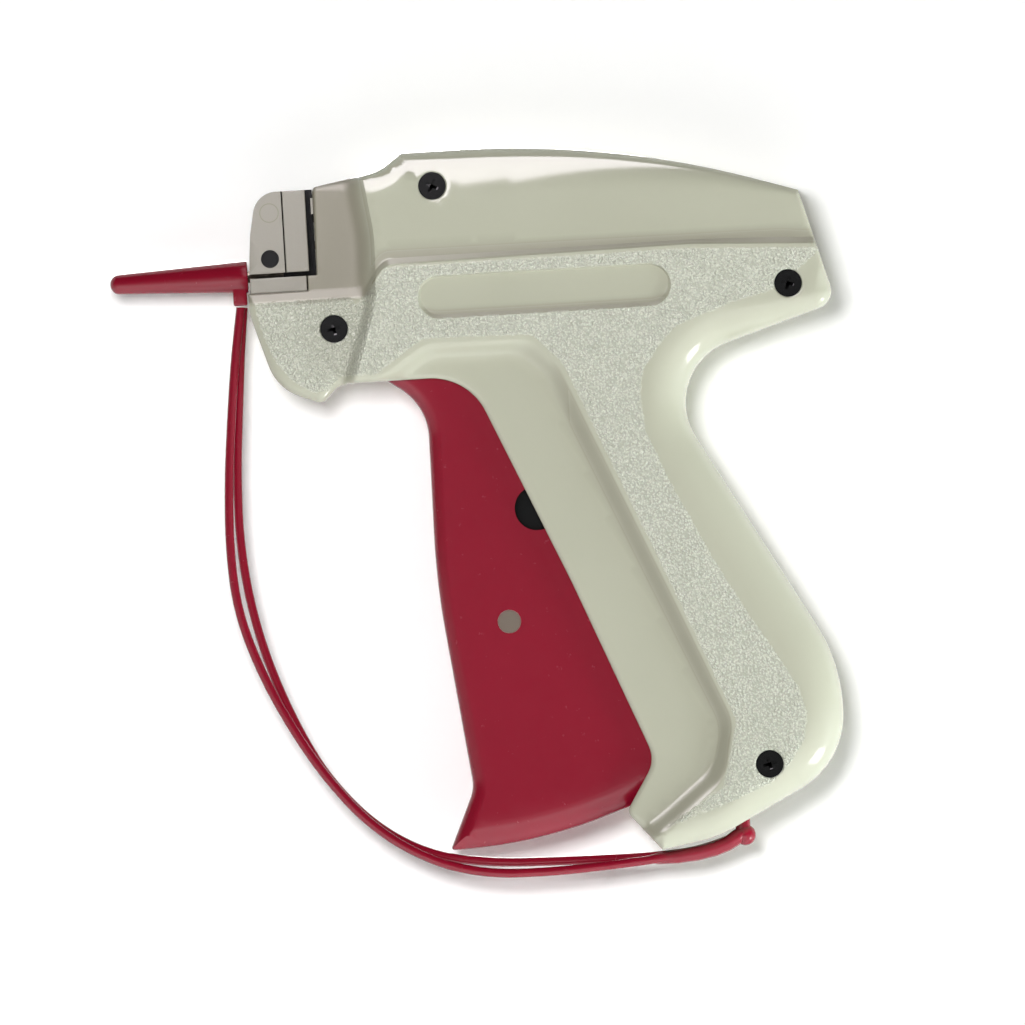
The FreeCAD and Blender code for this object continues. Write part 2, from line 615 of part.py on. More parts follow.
def feed_axle():
    y, z = WHEEL_AXIS
    return rod_x(y, z, AXLE_RADIUS, HOUSING_FRONT - 3.3, BRIDGE_BACK)


def feed_rocker():
    """Arm on the axle that the feed link swings to turn the wheel."""
    y, z = WHEEL_AXIS
    x0 = HOUSING_FRONT + 4.4
    x1 = x0 + 1.7
    ring = tapered([(0, AXLE_RADIUS + 0.9), (x1 - x0, AXLE_RADIUS + 0.9)],
                   V(x0, y, z), V(1, 0, 0), V(0, 0, 1), 12)
    arm = box(x0, x1, y - ARM_HALF, y + ARM_HALF, z, z + ARM_LENGTH)
    return ring.fuse(arm).cut(rod_x(y, z, AXLE_RADIUS + RUN, x0 - 1, x1 + 1)).removeSplitter()


LINK_IN = WHEEL_AXIS[0] + ARM_HALF + CLEAR      # side of the link next to the arm
LINK_OUT = LINK_IN + FEED_STRIP_THICK
LINK_BACK = SLIDE_END - CLEAR + LINK_STROKE     # rear of its foot at rest
LINK_FOOT = 1.2
LINK_TIP = HOUSING_FRONT + 5.9


def feed_link():
    """Strip whose ramp swings the rocker when the slide pushes its foot."""
    tip = LINK_TIP
    z0, z1 = FEED_STRIP
    swing = math.radians(ROCKER_SWING)
    rise = (WHEEL_AXIS[0] - (z0 - WHEEL_AXIS[1]) * math.tan(swing)
            + ARM_HALF / math.cos(swing) + CLEAR - 0.1)
    ramp = Part.Face(Part.makePolygon([
        V(tip, LINK_OUT, z0), V(tip, LINK_IN, z0), V(tip + LINK_STROKE + 0.2, rise, z0),
        V(tip + LINK_STROKE + 1.2, rise, z0), V(tip + LINK_STROKE + 3.4, LINK_IN, z0),
        V(LINK_BACK, LINK_IN, z0), V(LINK_BACK, LINK_OUT, z0), V(tip, LINK_OUT, z0),
    ])).extrude(V(0, 0, z1 - z0))
    foot = box(LINK_BACK - LINK_FOOT, LINK_BACK, BUFFER_HALF + CLEAR, LINK_OUT,
               NEEDLE_Z + 1.0, z1)
    return ramp.fuse(foot).removeSplitter()


# ---------------------------------------------------------------- slide and rod
def slide():
    """Carriage that runs on the shells' rails and carries the push rod."""
    x, z = SLIDE_PIN
    body = box(SLIDE_NOSE, x + SLIDE_REAR, -SLIDE_HALF, SLIDE_HALF,
               z - SLIDE_HALF_HEIGHT, z + SLIDE_HALF_HEIGHT)
    return body.cut([
        box(x - SLIDE_SLOT, x + SLIDE_REAR + 1, -LEVER_HALF - CLEAR, LEVER_HALF + CLEAR, z - 9, z + 9),
        box(x - SLIDE_SLOT - 1.5, x, -LEVER_HALF - CLEAR, LEVER_HALF + CLEAR, z - 9, z - 1.6),
        rod_y(SLIDE_PIN, SLIDE_PIN_RADIUS + 0.02, -SLIDE_HALF - 1, SLIDE_HALF + 1),
        rod_x(0, z, ROD_RADIUS + 0.02, SLIDE_NOSE - 1, x - SLIDE_SLOT + 0.5),
    ])


def slide_pin():
    return rod_y(SLIDE_PIN, SLIDE_PIN_RADIUS, -SLIDE_HALF, SLIDE_HALF)


def push_rod():
    return rod_x(0, NEEDLE_Z, ROD_RADIUS, ROD_TIP, SLIDE_PIN[0] - SLIDE_SLOT - 0.1)


def slide_buffer():
    pad = box(BUFFER_FRONT + 0.02, BUFFER_BACK, -BUFFER_HALF, BUFFER_HALF,
              RAIL_FLOOR + 0.1, RAIL_TOP - 0.1)
    return pad.cut(rod_x(0, NEEDLE_Z, ROD_RADIUS + CLEAR, BUFFER_FRONT - 1, BUFFER_BACK + 1))


# ---------------------------------------------------------------- lever and trigger
def lever_path(point_at, count):
    """Where a driven pin runs in the lever, for the lever's steady share of the pull."""
    path = []
    for i in range(count):
        part = i / (count - 1.0)
        path.append(turned(point_at(part), LEVER_AXIS, -LEVER_SWING * part))
    return path


def slide_pin_at(part):
    return (SLIDE_PIN[0] - SLIDE_STROKE * part, SLIDE_PIN[1])


def link_pin_at(part):
    return turned(LINK_PIN, TRIGGER_AXIS, TRIGGER_TRAVEL * part)


def drive_lever():
    """Steel lever: the trigger's pin turns it and it throws the slide."""
    upper = lever_path(slide_pin_at, 13)
    lower = lever_path(link_pin_at, 13)
    y0, y1 = -LEVER_HALF, LEVER_HALF
    neck = (upper[-1][0] * 0.5 + LEVER_AXIS[0] * 0.5 - 2.0,
            upper[-1][1] * 0.5 + LEVER_AXIS[1] * 0.5 + 1.4)
    plate = joined([
        many_sided(LEVER_AXIS, LEVER_HUB_RADIUS, y0, y1, 20),
        many_sided(LEVER_LOBE, LEVER_LOBE_RADIUS, y0, y1, 16),
        band(upper[::3], SLIDE_PIN_RADIUS + 1.8, y0, y1),
        band([LEVER_AXIS, neck, upper[-1]], SLIDE_PIN_RADIUS + 1.8, y0, y1),
        band(lower[::3], LINK_PIN_RADIUS + 2.4, y0, y1),
        band([lower[-1], LEVER_AXIS], LINK_PIN_RADIUS + 1.8, y0, y1),
    ])
    return plate.cut([
        band(upper, SLIDE_PIN_RADIUS + RUN, y0 - 1, y1 + 1),
        band(lower, LINK_PIN_RADIUS + RUN, y0 - 1, y1 + 1),
        rod_y(LEVER_AXIS, LEVER_PIN_RADIUS + RUN, y0 - 1, y1 + 1),
    ])


def lever_pin():
    return rod_y(LEVER_AXIS, LEVER_PIN_RADIUS, -HALF_RECESS + 1.1, HALF_RECESS - 1.1)


def trigger_outline():
    spread = 12.0
    foot = polar(TRIGGER_AXIS, TRIGGER_REACH / math.cos(math.radians(spread)), -90.0 + spread)
    heel = polar(TRIGGER_AXIS, TRIGGER_REACH, -90.0 + 2 * spread)
    return rounded([
        (-53.7, 44.5, 2.0), (-53.7, 39.86, 0), (-44.65, 33.6, 12.0),
        (-44.9, -2.0, 150.0), (-39.85, TRIGGER_FOOT + 11.5, 7.0), (-45.2, TRIGGER_FOOT - 0.6, 0),
        (foot[0], foot[1], TRIGGER_REACH * 0.96), (heel[0], heel[1], 1.5), (0.4, TRIGGER_FOOT + 17.4, 4.0),
        (-11.5, -4.0, 14.0), (-6.9, 14.5, 6.0), (-8.6, 27.0, 6.0), (-37.0, 51.5, 3.0),
    ])


def trigger():
    """Hollow trigger, open at the back, with an arc slot round the lever's boss."""
    outline = trigger_outline()
    body = slab(outline, -TRIGGER_HALF, TRIGGER_HALF)
    front = lambda x, z: x < -36.0 and TRIGGER_FOOT + 0.4 < z < 37.5
    for side in (-TRIGGER_HALF, TRIGGER_HALF):
        body = body.makeChamfer(TRIGGER_BEVEL, side_edges(body, side, front))
    room = Part.Face(outline).makeOffset2D(-TRIGGER_WALL)
    room.translate(V(0, -TRIGGER_HALF + TRIGGER_WALL, 0))
    room = room.extrude(V(0, 2 * (TRIGGER_HALF - TRIGGER_WALL), 0))
    behind = room.copy()
    behind.translate(V(9.0, 0, 3.0))
    body = body.cut([room, behind])
    body = body.fuse(rod_y(TRIGGER_AXIS, HUB_RADIUS, -TRIGGER_HALF, TRIGGER_HALF))
    start = -STOP_ANGLE + TRIGGER_TRAVEL
    arc = [polar(TRIGGER_AXIS, STOP_RADIUS, -start - 0.2 + i * (TRIGGER_TRAVEL + 0.4) / 4.0)
           for i in range(5)]
    return body.cut([
        rod_y(TRIGGER_AXIS, TRIGGER_PIN_RADIUS + RUN, -20, 20),
        rod_y(LINK_PIN, LINK_PIN_RADIUS + 0.02, -20, 20),
        band(arc, STOP_BOSS_RADIUS + STOP_GAP, -20, 20),
    ]).removeSplitter()


def trigger_pin():
    return rod_y(TRIGGER_AXIS, TRIGGER_PIN_RADIUS, -HALF_RECESS + 1.1, HALF_RECESS - 1.1)


def link_pin():
    return rod_y(LINK_PIN, LINK_PIN_RADIUS, -TRIGGER_HALF, TRIGGER_HALF)


def return_spring():
    """Torsion spring round the right boss of the lever's axis."""
    wire = SPRING_WIRE / 2
    coil = STOP_BOSS_RADIUS + CLEAR + wire
    along = 50.0                # towards the lever's upper end
    rest = polar(LEVER_AXIS, SPRING_FOOT, SPRING_FOOT_ANGLE)
    out = SPRING_FOOT_ANGLE - 90.0
    sweep = (out - (along + 90.0)) % 360.0 + 360.0 * SPRING_TURNS
    pitch = SPRING_WIRE + 0.05
    y0 = LEVER_HALF + 0.25 + wire
    y1 = y0 + pitch * sweep / 360.0
    hook = polar(polar(LEVER_AXIS, SPRING_HOOK, along), SPRING_HOOK_OUT, along + 90.0)
    points = [at(hook, -LEVER_HALF), at(hook, y0)]
    steps = int(math.ceil(sweep / 30.0))
    for i in range(steps + 1):
        turn = polar(LEVER_AXIS, coil, along + 90.0 + sweep * i / steps)
        points.append(at(turn, y0 + (y1 - y0) * i / steps))
    points.append(at(rest, y1))
    section = ring_of(6, wire, points[0], V(0, 1, 0), V(1, 0, 0))
    return Part.makePolygon(points).makePipeShell([section], True, False, 1)


# ---------------------------------------------------------------- screws
def screws():
    pieces = []
    for x, z, level in SCREWS.values():
        top = -level + SCREW_SUNK
        head = many_sided((x, z), SCREW_HEAD_RADIUS, top, top + SCREW_HEAD_HEIGHT, 16)
        shank = many_sided((x, z), SCREW_RADIUS, top + SCREW_HEAD_HEIGHT, SCREW_PAST_MIDDLE)
        cross = box(x - 1.5, x + 1.5, top - 1, top + 1.0, z - 0.32, z + 0.32).fuse(
            box(x - 0.32, x + 0.32, top - 1, top + 1.0, z - 1.5, z + 1.5))
        pieces.append(head.fuse(shank).cut(cross).removeSplitter())
    return Part.makeCompound(pieces)


# ---------------------------------------------------------------- cap and strap
CAP_REAR = HEAD_FRONT - 0.3
CAP_TIP = -106.5
CAP_REAR_RADIUS = 3.25
CAP_TIP_RADIUS = 1.95
CAP_BLUNT = 1.1                 # length of the blunt tip
TAB_FOOT = 55.7
TAB_DEPTH = 2.8
TAB_HALF = 2.1
TAB_GAP = 0.2                   # tab to the nose behind it


def needle_cap():
    """Tapered cap over the needle, with the tab that the strap grows out of."""
    length = CAP_REAR - CAP_TIP
    cone = tapered([(0, CAP_REAR_RADIUS), (length - CAP_BLUNT, CAP_TIP_RADIUS),
                    (length, CAP_TIP_RADIUS - CAP_BLUNT)],
                   V(CAP_REAR, 0, NEEDLE_Z), V(-1, 0, 0), V(0, 0, 1), 24)
    back = NOSE_FRONT - TAB_GAP
    tab = box(back - TAB_DEPTH, back, -TAB_HALF, TAB_HALF,
              TAB_FOOT, NEEDLE_Z - CAP_REAR_RADIUS + 1.2)
    bore = rod_x(0, NEEDLE_Z, NEEDLE_RADIUS + CLEAR, NEEDLE_TIP - 1.5, CAP_REAR + 1)
    return cone.fuse(tab).cut(bore).removeSplitter()


FRONT_STRAND = [
    (-80.7, TAB_FOOT - CLEAR), (-82.3, 46.4), (-83.9, 33.3), (-85.2, 20.5), (-85.8, 6.9), (-84.9, -5.3),
    (-81.3, -16.9), (-76.2, -27.9), (-69.4, -39.4), (-60.5, -50.1), (-49.4, -57.4),
    (-38.1, -60.7), (-25.3, -61.0), (-12.0, -60.3), (0.0, -59.3), (7.5, -58.0), (11.4, -56.9),
]
BACK_STRAND = [
    (-80.2, TAB_FOOT - CLEAR), (-81.2, 47.3), (-82.3, 35.0), (-83.4, 22.4), (-83.7, 9.1), (-82.4, -3.6),
    (-79.4, -16.2), (-74.7, -28.7), (-68.8, -40.0), (-59.8, -50.1), (-49.2, -56.3),
    (-37.0, -58.5), (-24.6, -58.9), (-12.0, -59.1), (0.0, -59.0), (7.5, -57.7), (11.4, -56.2),
]


def cord(route, y, name):
    """Round strand: straight runs joined by the largest tangent arcs."""
    points = [at(p, y) for p in route]
    edges = []
    radii = []
    start = points[0]
    for i in range(1, len(points) - 1):
        back, on = points[i - 1] - points[i], points[i + 1] - points[i]
        run = 0.45 * min(back.Length, on.Length)
        half_turn = (math.pi - back.getAngle(on)) / 2
        radius = run / math.tan(half_turn)
        radii.append(round(radius, 1))
        back.normalize()
        on.normalize()
        first, last = points[i] + back * run, points[i] + on * run
        middle = (back + on).normalize()
        centre = points[i] + middle * (radius / math.cos(half_turn))
        edges.append(Part.LineSegment(start, first).toShape())
        edges.append(Part.Arc(first, centre - middle * radius, last).toShape())
        start = last
    edges.append(Part.LineSegment(start, points[-1]).toShape())
    path = Part.Wire(edges)
    section_wire = ring_of(6, CORD_RADIUS, points[0], (points[1] - points[0]).normalize(), V(0, 1, 0))
    tube = path.makePipeShell([section_wire], True, False)
    section = math.pi * CORD_RADIUS ** 2
    print(name, "length %.1f volume ratio %.4f radii" % (path.Length, tube.Volume / (section * path.Length)), radii)
    return tube


def strap_anchor():
    """Knob at the strap's end with a stem that snaps into the grip."""
    x, z = ANCHOR
    r = ANCHOR_RADIUS
    rise = STEM_TOP - z
    return tapered([(-r, r * 0.45), (-r * 0.5, r * 0.84), (r * 0.5, r * 0.84), (r * 0.8, STEM_RADIUS),
                    (rise, STEM_RADIUS), (rise + 0.01, STEM_HEAD_RADIUS), (rise + 1.8, STEM_RADIUS * 0.8)],
                   V(x, 0, z), V(0, 0, 1), V(-1, 0, 0), 16)


# ---------------------------------------------------------------- everything
PIECES = [
    ("left_housing", left_housing), ("right_housing", right_housing), ("housing_screws", screws),
    ("head_frame", head_frame), ("front_block", front_block), ("feed_guide", feed_guide),
    ("needle_clamp", needle_clamp), ("knife_blade", lambda: knife(0)), ("clip_brake", clip_brake),
    ("needle_holder", needle_holder), ("needle", needle), ("lock_shaft", lock_shaft),
    ("lock_knob", lock_knob), ("feed_wheel", feed_wheel), ("feed_axle", feed_axle),
    ("feed_rocker", feed_rocker), ("feed_link", feed_link), ("slide", slide),
    ("slide_pin", slide_pin), ("push_rod", push_rod), ("slide_buffer", slide_buffer),
    ("drive_lever", drive_lever), ("lever_pin", lever_pin), ("trigger", trigger),
    ("trigger_pin", trigger_pin), ("link_pin", link_pin), ("return_spring", return_spring),
    ("needle_cap", needle_cap), ("strap_anchor", strap_anchor),
    ("strap_strand_front", lambda: cord(FRONT_STRAND, -CORD_APART, "front strand")),
    ("strap_strand_back", lambda: cord(BACK_STRAND, CORD_APART, "back strand")),
]

os.makedirs("parts", exist_ok=True)
for piece_name, make in PIECES:
    save(piece_name, make())
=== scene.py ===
import math

import bmesh
import bpy
import numpy as np
from mathutils import Matrix, Vector
from mathutils.geometry import delaunay_2d_cdt
from mathutils.kdtree import KDTree


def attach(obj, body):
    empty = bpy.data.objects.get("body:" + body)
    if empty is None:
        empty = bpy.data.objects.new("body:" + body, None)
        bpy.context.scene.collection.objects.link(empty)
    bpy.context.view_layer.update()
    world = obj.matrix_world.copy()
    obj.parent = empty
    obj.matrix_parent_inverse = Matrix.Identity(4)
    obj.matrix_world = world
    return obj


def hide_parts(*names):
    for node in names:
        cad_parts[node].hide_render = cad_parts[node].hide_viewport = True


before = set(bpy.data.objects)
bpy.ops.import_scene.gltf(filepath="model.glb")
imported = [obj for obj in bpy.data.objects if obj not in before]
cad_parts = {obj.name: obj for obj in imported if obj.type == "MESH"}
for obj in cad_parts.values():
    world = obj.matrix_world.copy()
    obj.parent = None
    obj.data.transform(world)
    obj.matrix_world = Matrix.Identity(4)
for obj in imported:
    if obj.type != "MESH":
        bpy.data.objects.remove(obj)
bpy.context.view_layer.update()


# ------------------------------------------------------------------ camera
# The gun lies with its left side to the viewer, nose down by a few degrees,
# seen square on from far away, so the lens is an orthographic one.
# Sizes are in millimetres, and MM turns them to metres for a mesh or a curve.
MM = 0.001
nose_down = math.radians(3.4)
view_width = 205.0
camera_away = 600.0
look_at = Vector((-28.885, 0.0, 11.233)) * MM
right = Vector((math.cos(nose_down), 0.0, -math.sin(nose_down)))
up = Vector((math.sin(nose_down), 0.0, math.cos(nose_down)))
lens = bpy.data.cameras.new("camera")
lens.type = "ORTHO"
lens.ortho_scale = view_width * MM
lens.clip_start = 0.01
lens.clip_end = 10.0
camera = bpy.data.objects.new("camera", lens)
bpy.context.scene.collection.objects.link(camera)
camera.matrix_world = Matrix((
    (right.x, up.x, 0.0, look_at.x),
    (0.0, 0.0, -1.0, -camera_away * MM),
    (right.z, up.z, 0.0, look_at.z),
    (0.0, 0.0, 0.0, 1.0),
))
bpy.context.scene.camera = camera


# ------------------------------------------------------------------ strap
# Two round strands of soft crimson plastic, moulded in one with the needle cap.
# They run side by side from the cap's tab to a knob under the grip and hang free.
def hex_colour(text):
    """Linear colour of an sRGB hex value."""
    parts = [int(text[i:i + 2], 16) / 255.0 for i in (1, 3, 5)]
    return [p / 12.92 if p <= 0.04045 else ((p + 0.055) / 1.055) ** 2.4 for p in parts] + [1.0]


def add_node(tree, kind, wires=None, **settings):
    """Adds a node. Settings are its properties or inputs, wires are inputs fed by outputs.

    An input goes by its name or its number: _1 is input number 1. A mix of two
    colours has them at 6 and 7, and its output is number 2.
    """
    made = tree.nodes.new(kind)
    for key, value in settings.items():
        if hasattr(made, key):
            setattr(made, key, value)
        else:
            name = key[1:] if key.startswith("_") else key.replace("_", " ")
            socket = made.inputs[int(name)] if name.isdigit() else made.inputs[name]
            socket.default_value = value
    for key, output in (wires or {}).items():
        tree.links.new(output, made.inputs[key])
    return made


def new_material(name):
    """Material with an empty tree, and that tree."""
    made = bpy.data.materials.new(name)
    made.use_nodes = True
    made.node_tree.nodes.clear()
    return made, made.node_tree


def mottled(tree, where, low, high, **sizes):
    """Noise that lies still on the piece, and the colour between two tones that follows it."""
    spots = add_node(tree, "ShaderNodeTexNoise", {"Vector": where}, **sizes)
    tone = add_node(tree, "ShaderNodeMix", {"Factor": spots.outputs["Fac"]}, data_type="RGBA",
                    _6=hex_colour(low), _7=hex_colour(high))
    return spots.outputs["Fac"], tone.outputs[2]


# Crimson polyethylene, injection moulded in a polished tool: an even, slightly
# milky red under a soft gloss, with fine rub marks 2 mm apart that catch the light.
crimson, tree = new_material("crimson moulded polyethylene")
where = add_node(tree, "ShaderNodeTexCoord").outputs["Object"]
_, tone = mottled(tree, where, "#7B0820", "#830C25", Scale=28.0, Detail=2.0, Roughness=0.5)
rubs = add_node(tree, "ShaderNodeTexNoise", {"Vector": where},
                Scale=520.0, Detail=5.0, Roughness=0.7)
polish = add_node(tree, "ShaderNodeMapRange", {"Value": rubs.outputs["Fac"]},
                  _1=0.35, _2=0.75, _3=0.17, _4=0.30)
dents = add_node(tree, "ShaderNodeBump", {"Height": rubs.outputs["Fac"]},
                 Strength=0.15, Distance=0.00003)
shade = add_node(tree, "ShaderNodeBsdfPrincipled",
                 {"Base Color": tone, "Roughness": polish.outputs["Result"],
                  "Normal": dents.outputs["Normal"]}, IOR=1.51)
add_node(tree, "ShaderNodeOutputMaterial", {"Surface": shade.outputs["BSDF"]})

strand_radius = 0.9
# Each strand's side, the points (x, z) of its route and its length.
strand_routes = {
    "strap_strand_front": (-1.05, [
        (-80.7, 55.35), (-82.3, 46.4), (-83.9, 33.3), (-85.2, 20.5), (-85.8, 6.9), (-84.9, -5.3),
        (-81.3, -16.9), (-76.2, -27.9), (-69.4, -39.4), (-60.5, -50.1), (-49.4, -57.4),
        (-38.1, -60.7), (-25.3, -61.0), (-12.0, -60.3), (0.0, -59.3), (7.5, -58.0), (11.4, -56.9)],
        187.1),
    "strap_strand_back": (1.05, [
        (-80.2, 55.35), (-81.2, 47.3), (-82.3, 35.0), (-83.4, 22.4), (-83.7, 9.1), (-82.4, -3.6),
        (-79.4, -16.2), (-74.7, -28.7), (-68.8, -40.0), (-59.8, -50.1), (-49.2, -56.3),
        (-37.0, -58.5), (-24.6, -58.9), (-12.0, -59.1), (0.0, -59.0), (7.5, -57.7), (11.4, -56.2)],
        184.9),
}
strands = []
for name, (side, route, length) in strand_routes.items():
    line = bpy.data.curves.new(name + "_line", "CURVE")
    line.dimensions = "3D"
    line.bevel_depth = strand_radius * MM
    line.bevel_resolution = 6
    line.resolution_u = 12
    line.use_fill_caps = True
    spline = line.splines.new("NURBS")
    spline.points.add(len(route) - 1)
    for point, (x, z) in zip(spline.points, route):
        point.co = (x * MM, side * MM, z * MM, 1.0)
    spline.order_u = 3
    spline.use_endpoint_u = True
    strand = bpy.data.objects.new(name + "_cord", line)
    bpy.context.scene.collection.objects.link(strand)
    line.materials.append(crimson)
    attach(strand, "housing")
    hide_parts(name)
    strands.append(strand)


# ------------------------------------------------------------------ needle cap
# Tapered crimson cap that guards the needle, moulded with the tab that the
# strap grows out of. It slides off forwards.
def finished(name, verts, faces, material, body, nodes=(), smooth_below=35.0):
    """Object from points in millimetres, shaded smooth up to an angle, on its body."""
    mesh = bpy.data.meshes.new(name)
    mesh.from_pydata([(x * MM, y * MM, z * MM) for x, y, z in verts], [], faces)
    mesh.validate()
    work = bmesh.new()
    work.from_mesh(mesh)
    bmesh.ops.remove_doubles(work, verts=work.verts, dist=1e-6)
    bmesh.ops.recalc_face_normals(work, faces=work.faces)
    work.to_mesh(mesh)
    work.free()
    mesh.shade_smooth()
    mesh.set_sharp_from_angle(angle=math.radians(smooth_below))
    mesh.materials.append(material)
    piece = bpy.data.objects.new(name, mesh)
    bpy.context.scene.collection.objects.link(piece)
    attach(piece, body)
    if nodes:
        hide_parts(*nodes)
    return piece


def spun(profile, centre, axis, around=64):
    """Points and faces of a profile (along, radius) turned about an axis through centre."""
    along = np.array(axis, float)
    side = np.array((0.0, 1.0, 0.0)) if abs(along[1]) < 0.5 else np.array((1.0, 0.0, 0.0))
    other = np.cross(along, side)
    verts, faces = [], []
    for run, radius in profile:
        for k in range(around):
            a = 2 * math.pi * k / around
            out = side * (radius * math.cos(a)) + other * (radius * math.sin(a))
            verts.append(tuple(np.array(centre) + along * run + out))
    for i in range(len(profile) - 1):
        here, following = i * around, (i + 1) * around
        for k in range(around):
            k1 = (k + 1) % around
            faces.append((here + k, here + k1, following + k1, following + k))
    return verts, faces


def joined(verts, faces, more_verts, more_faces):
    """Adds the points and faces of one form to those of another."""
    faces += [tuple(i + len(verts) for i in face) for face in more_faces]
    verts += more_verts


needle_z = 61.4
cap_back, cap_tip = -78.95, -106.5
cap_length = cap_back - cap_tip
cap_radius, cap_tip_radius = 3.25, 1.97
bore_end, bore_radii = 5.0, (1.5, 1.55)
back_round, tip_round = 0.35, 1.65
steps = 8
profile = [(bore_end - cap_length, 0.0), (bore_end - cap_length, bore_radii[0]), (0.0, bore_radii[1]),
           (0.0, cap_radius - 0.3), (-0.12, cap_radius - 0.09), (-back_round, cap_radius)]
for i in range(1, steps + 1):
    profile.append((-back_round - (cap_length - back_round - tip_round) * i / steps,
                    cap_radius - (cap_radius - cap_tip_radius) * i / steps))
for i in range(1, steps + 1):
    a = math.pi / 2 * i / steps
    profile.append((tip_round * (1 - math.sin(a)) - cap_length,
                    cap_tip_radius * math.cos(a) if i < steps else 0.0))
verts, faces = spun(profile, (cap_back, 0.0, needle_z), (1.0, 0.0, 0.0))
cap = finished("needle_cap_body", verts, faces, crimson, "needle_cap",
               ["needle_cap"])

# The tab is a small block with its edges rounded.
tab_low, tab_high, tab_edge = (-82.1, -2.1, 55.7), (-79.3, 2.1, 60.2), 0.4
block = bmesh.new()
bmesh.ops.create_cube(block, size=1.0)
for v in block.verts:
    v.co = Vector([(low + high) / 2 + share * (high - low)
                   for low, high, share in zip(tab_low, tab_high, v.co)])
bmesh.ops.bevel(block, geom=block.edges[:], offset=tab_edge, segments=3, profile=0.5,
                affect="EDGES", clamp_overlap=True)
verts = [tuple(v.co) for v in block.verts]
faces = [[v.index for v in f.verts] for f in block.faces]
block.free()
tab = finished("needle_cap_tab", verts, faces, crimson, "needle_cap")


# ------------------------------------------------------------------ strap knob
# Crimson knob where both strands meet, with a stem that snaps into the grip.
# The strands run together into one thick end that curls up into the knob.
knob_centre, stem_foot = (13.8, 0.0, -55.9), (13.4, 0.0, -56.5)
knob_radius, stem_radius, stem_length = 2.1, 1.5, 7.6
upward = (0.0, 0.0, 1.0)
profile = []
for i in range(25):
    a = math.pi * i / 24
    profile.append((-knob_radius * math.cos(a), knob_radius * math.sin(a)))
verts, faces = spun(profile, knob_centre, upward, 40)
stem = [(0.0, 0.0), (0.0, stem_radius), (stem_length, stem_radius)]
joined(verts, faces, *spun(stem, stem_foot, upward, 40))

# Points (x, z, radius) along the thick end, which is wider than it is high.
joined_end = [(-7.0, -59.7, 0.6), (-4.0, -59.6, 1.15), (0.0, -59.45, 1.4), (4.0, -59.0, 1.5),
              (7.5, -58.35, 1.5), (10.2, -57.4, 1.5), (12.2, -56.2, 1.6), (13.2, -55.4, 1.4)]
wider = 1.45
around = 24
tube, tube_faces = [], []
for i, (x, z, radius) in enumerate(joined_end):
    before, after = joined_end[max(i - 1, 0)], joined_end[min(i + 1, len(joined_end) - 1)]
    along = Vector((after[0] - before[0], 0.0, after[1] - before[1])).normalized()
    for k in range(around):
        a = 2 * math.pi * k / around
        out = Vector((-along.z, 0.0, along.x)) * math.sin(a) * radius
        tube.append((x + out.x, wider * radius * math.cos(a), z + out.z))
        if i:
            k1 = (k + 1) % around
            here, last = i * around, (i - 1) * around
            tube_faces.append((last + k, last + k1, here + k1, here + k))
tube_faces.append(tuple(range(around)))
tube_faces.append(tuple(len(tube) - 1 - k for k in range(around)))
joined(verts, faces, tube, tube_faces)
knob = finished("strap_knob", verts, faces, crimson, "housing", ["strap_anchor"])


# ------------------------------------------------------------------ housing halves
# Two mirrored shells of sage green ABS. The side panels have a fine leather
# grain, and the barrel, the finger recess and the rounded edges are smooth.
# Screws from the left hold the halves together.
def path_of(corners, step=0.8):
    """Closed outline from corners (x, z, radius, width, depth); the last two size its edge round."""
    count = len(corners)
    tangents = []
    for i, (x, z, radius, width, depth) in enumerate(corners):
        here = np.array((x, z))
        back = np.array(corners[i - 1][:2]) - here
        on = np.array(corners[(i + 1) % count][:2]) - here
        back = back / np.linalg.norm(back)
        on = on / np.linalg.norm(on)
        if radius <= 0:
            tangents.append([here])
            continue
        half = math.acos(max(-1.0, min(1.0, float(back @ on)))) / 2
        reach = radius / math.tan(half)
        middle = (back + on) / np.linalg.norm(back + on)
        centre = here + middle * radius / math.sin(half)
        first, last = here + back * reach - centre, here + on * reach - centre
        start = math.atan2(first[1], first[0])
        sweep = math.atan2(first[0] * last[1] - first[1] * last[0], float(first @ last))
        pieces = max(3, int(math.ceil(abs(sweep) * radius / step)), int(abs(sweep) / 0.14))
        angles = [start + sweep * k / pieces for k in range(pieces + 1)]
        tangents.append([centre + radius * np.array((math.cos(a), math.sin(a))) for a in angles])
    points = []
    for i in range(count):
        following = (i + 1) % count
        points += [[p[0], p[1], corners[i][3], corners[i][4]] for p in tangents[i]]
        a = np.array(points[-1])
        b = np.array([*tangents[following][0], *corners[following][3:]])
        pieces = int(math.ceil(np.linalg.norm(b[:2] - a[:2]) / step))
        points += [list(a + (b - a) * k / pieces) for k in range(1, pieces)]
    return np.array(points)


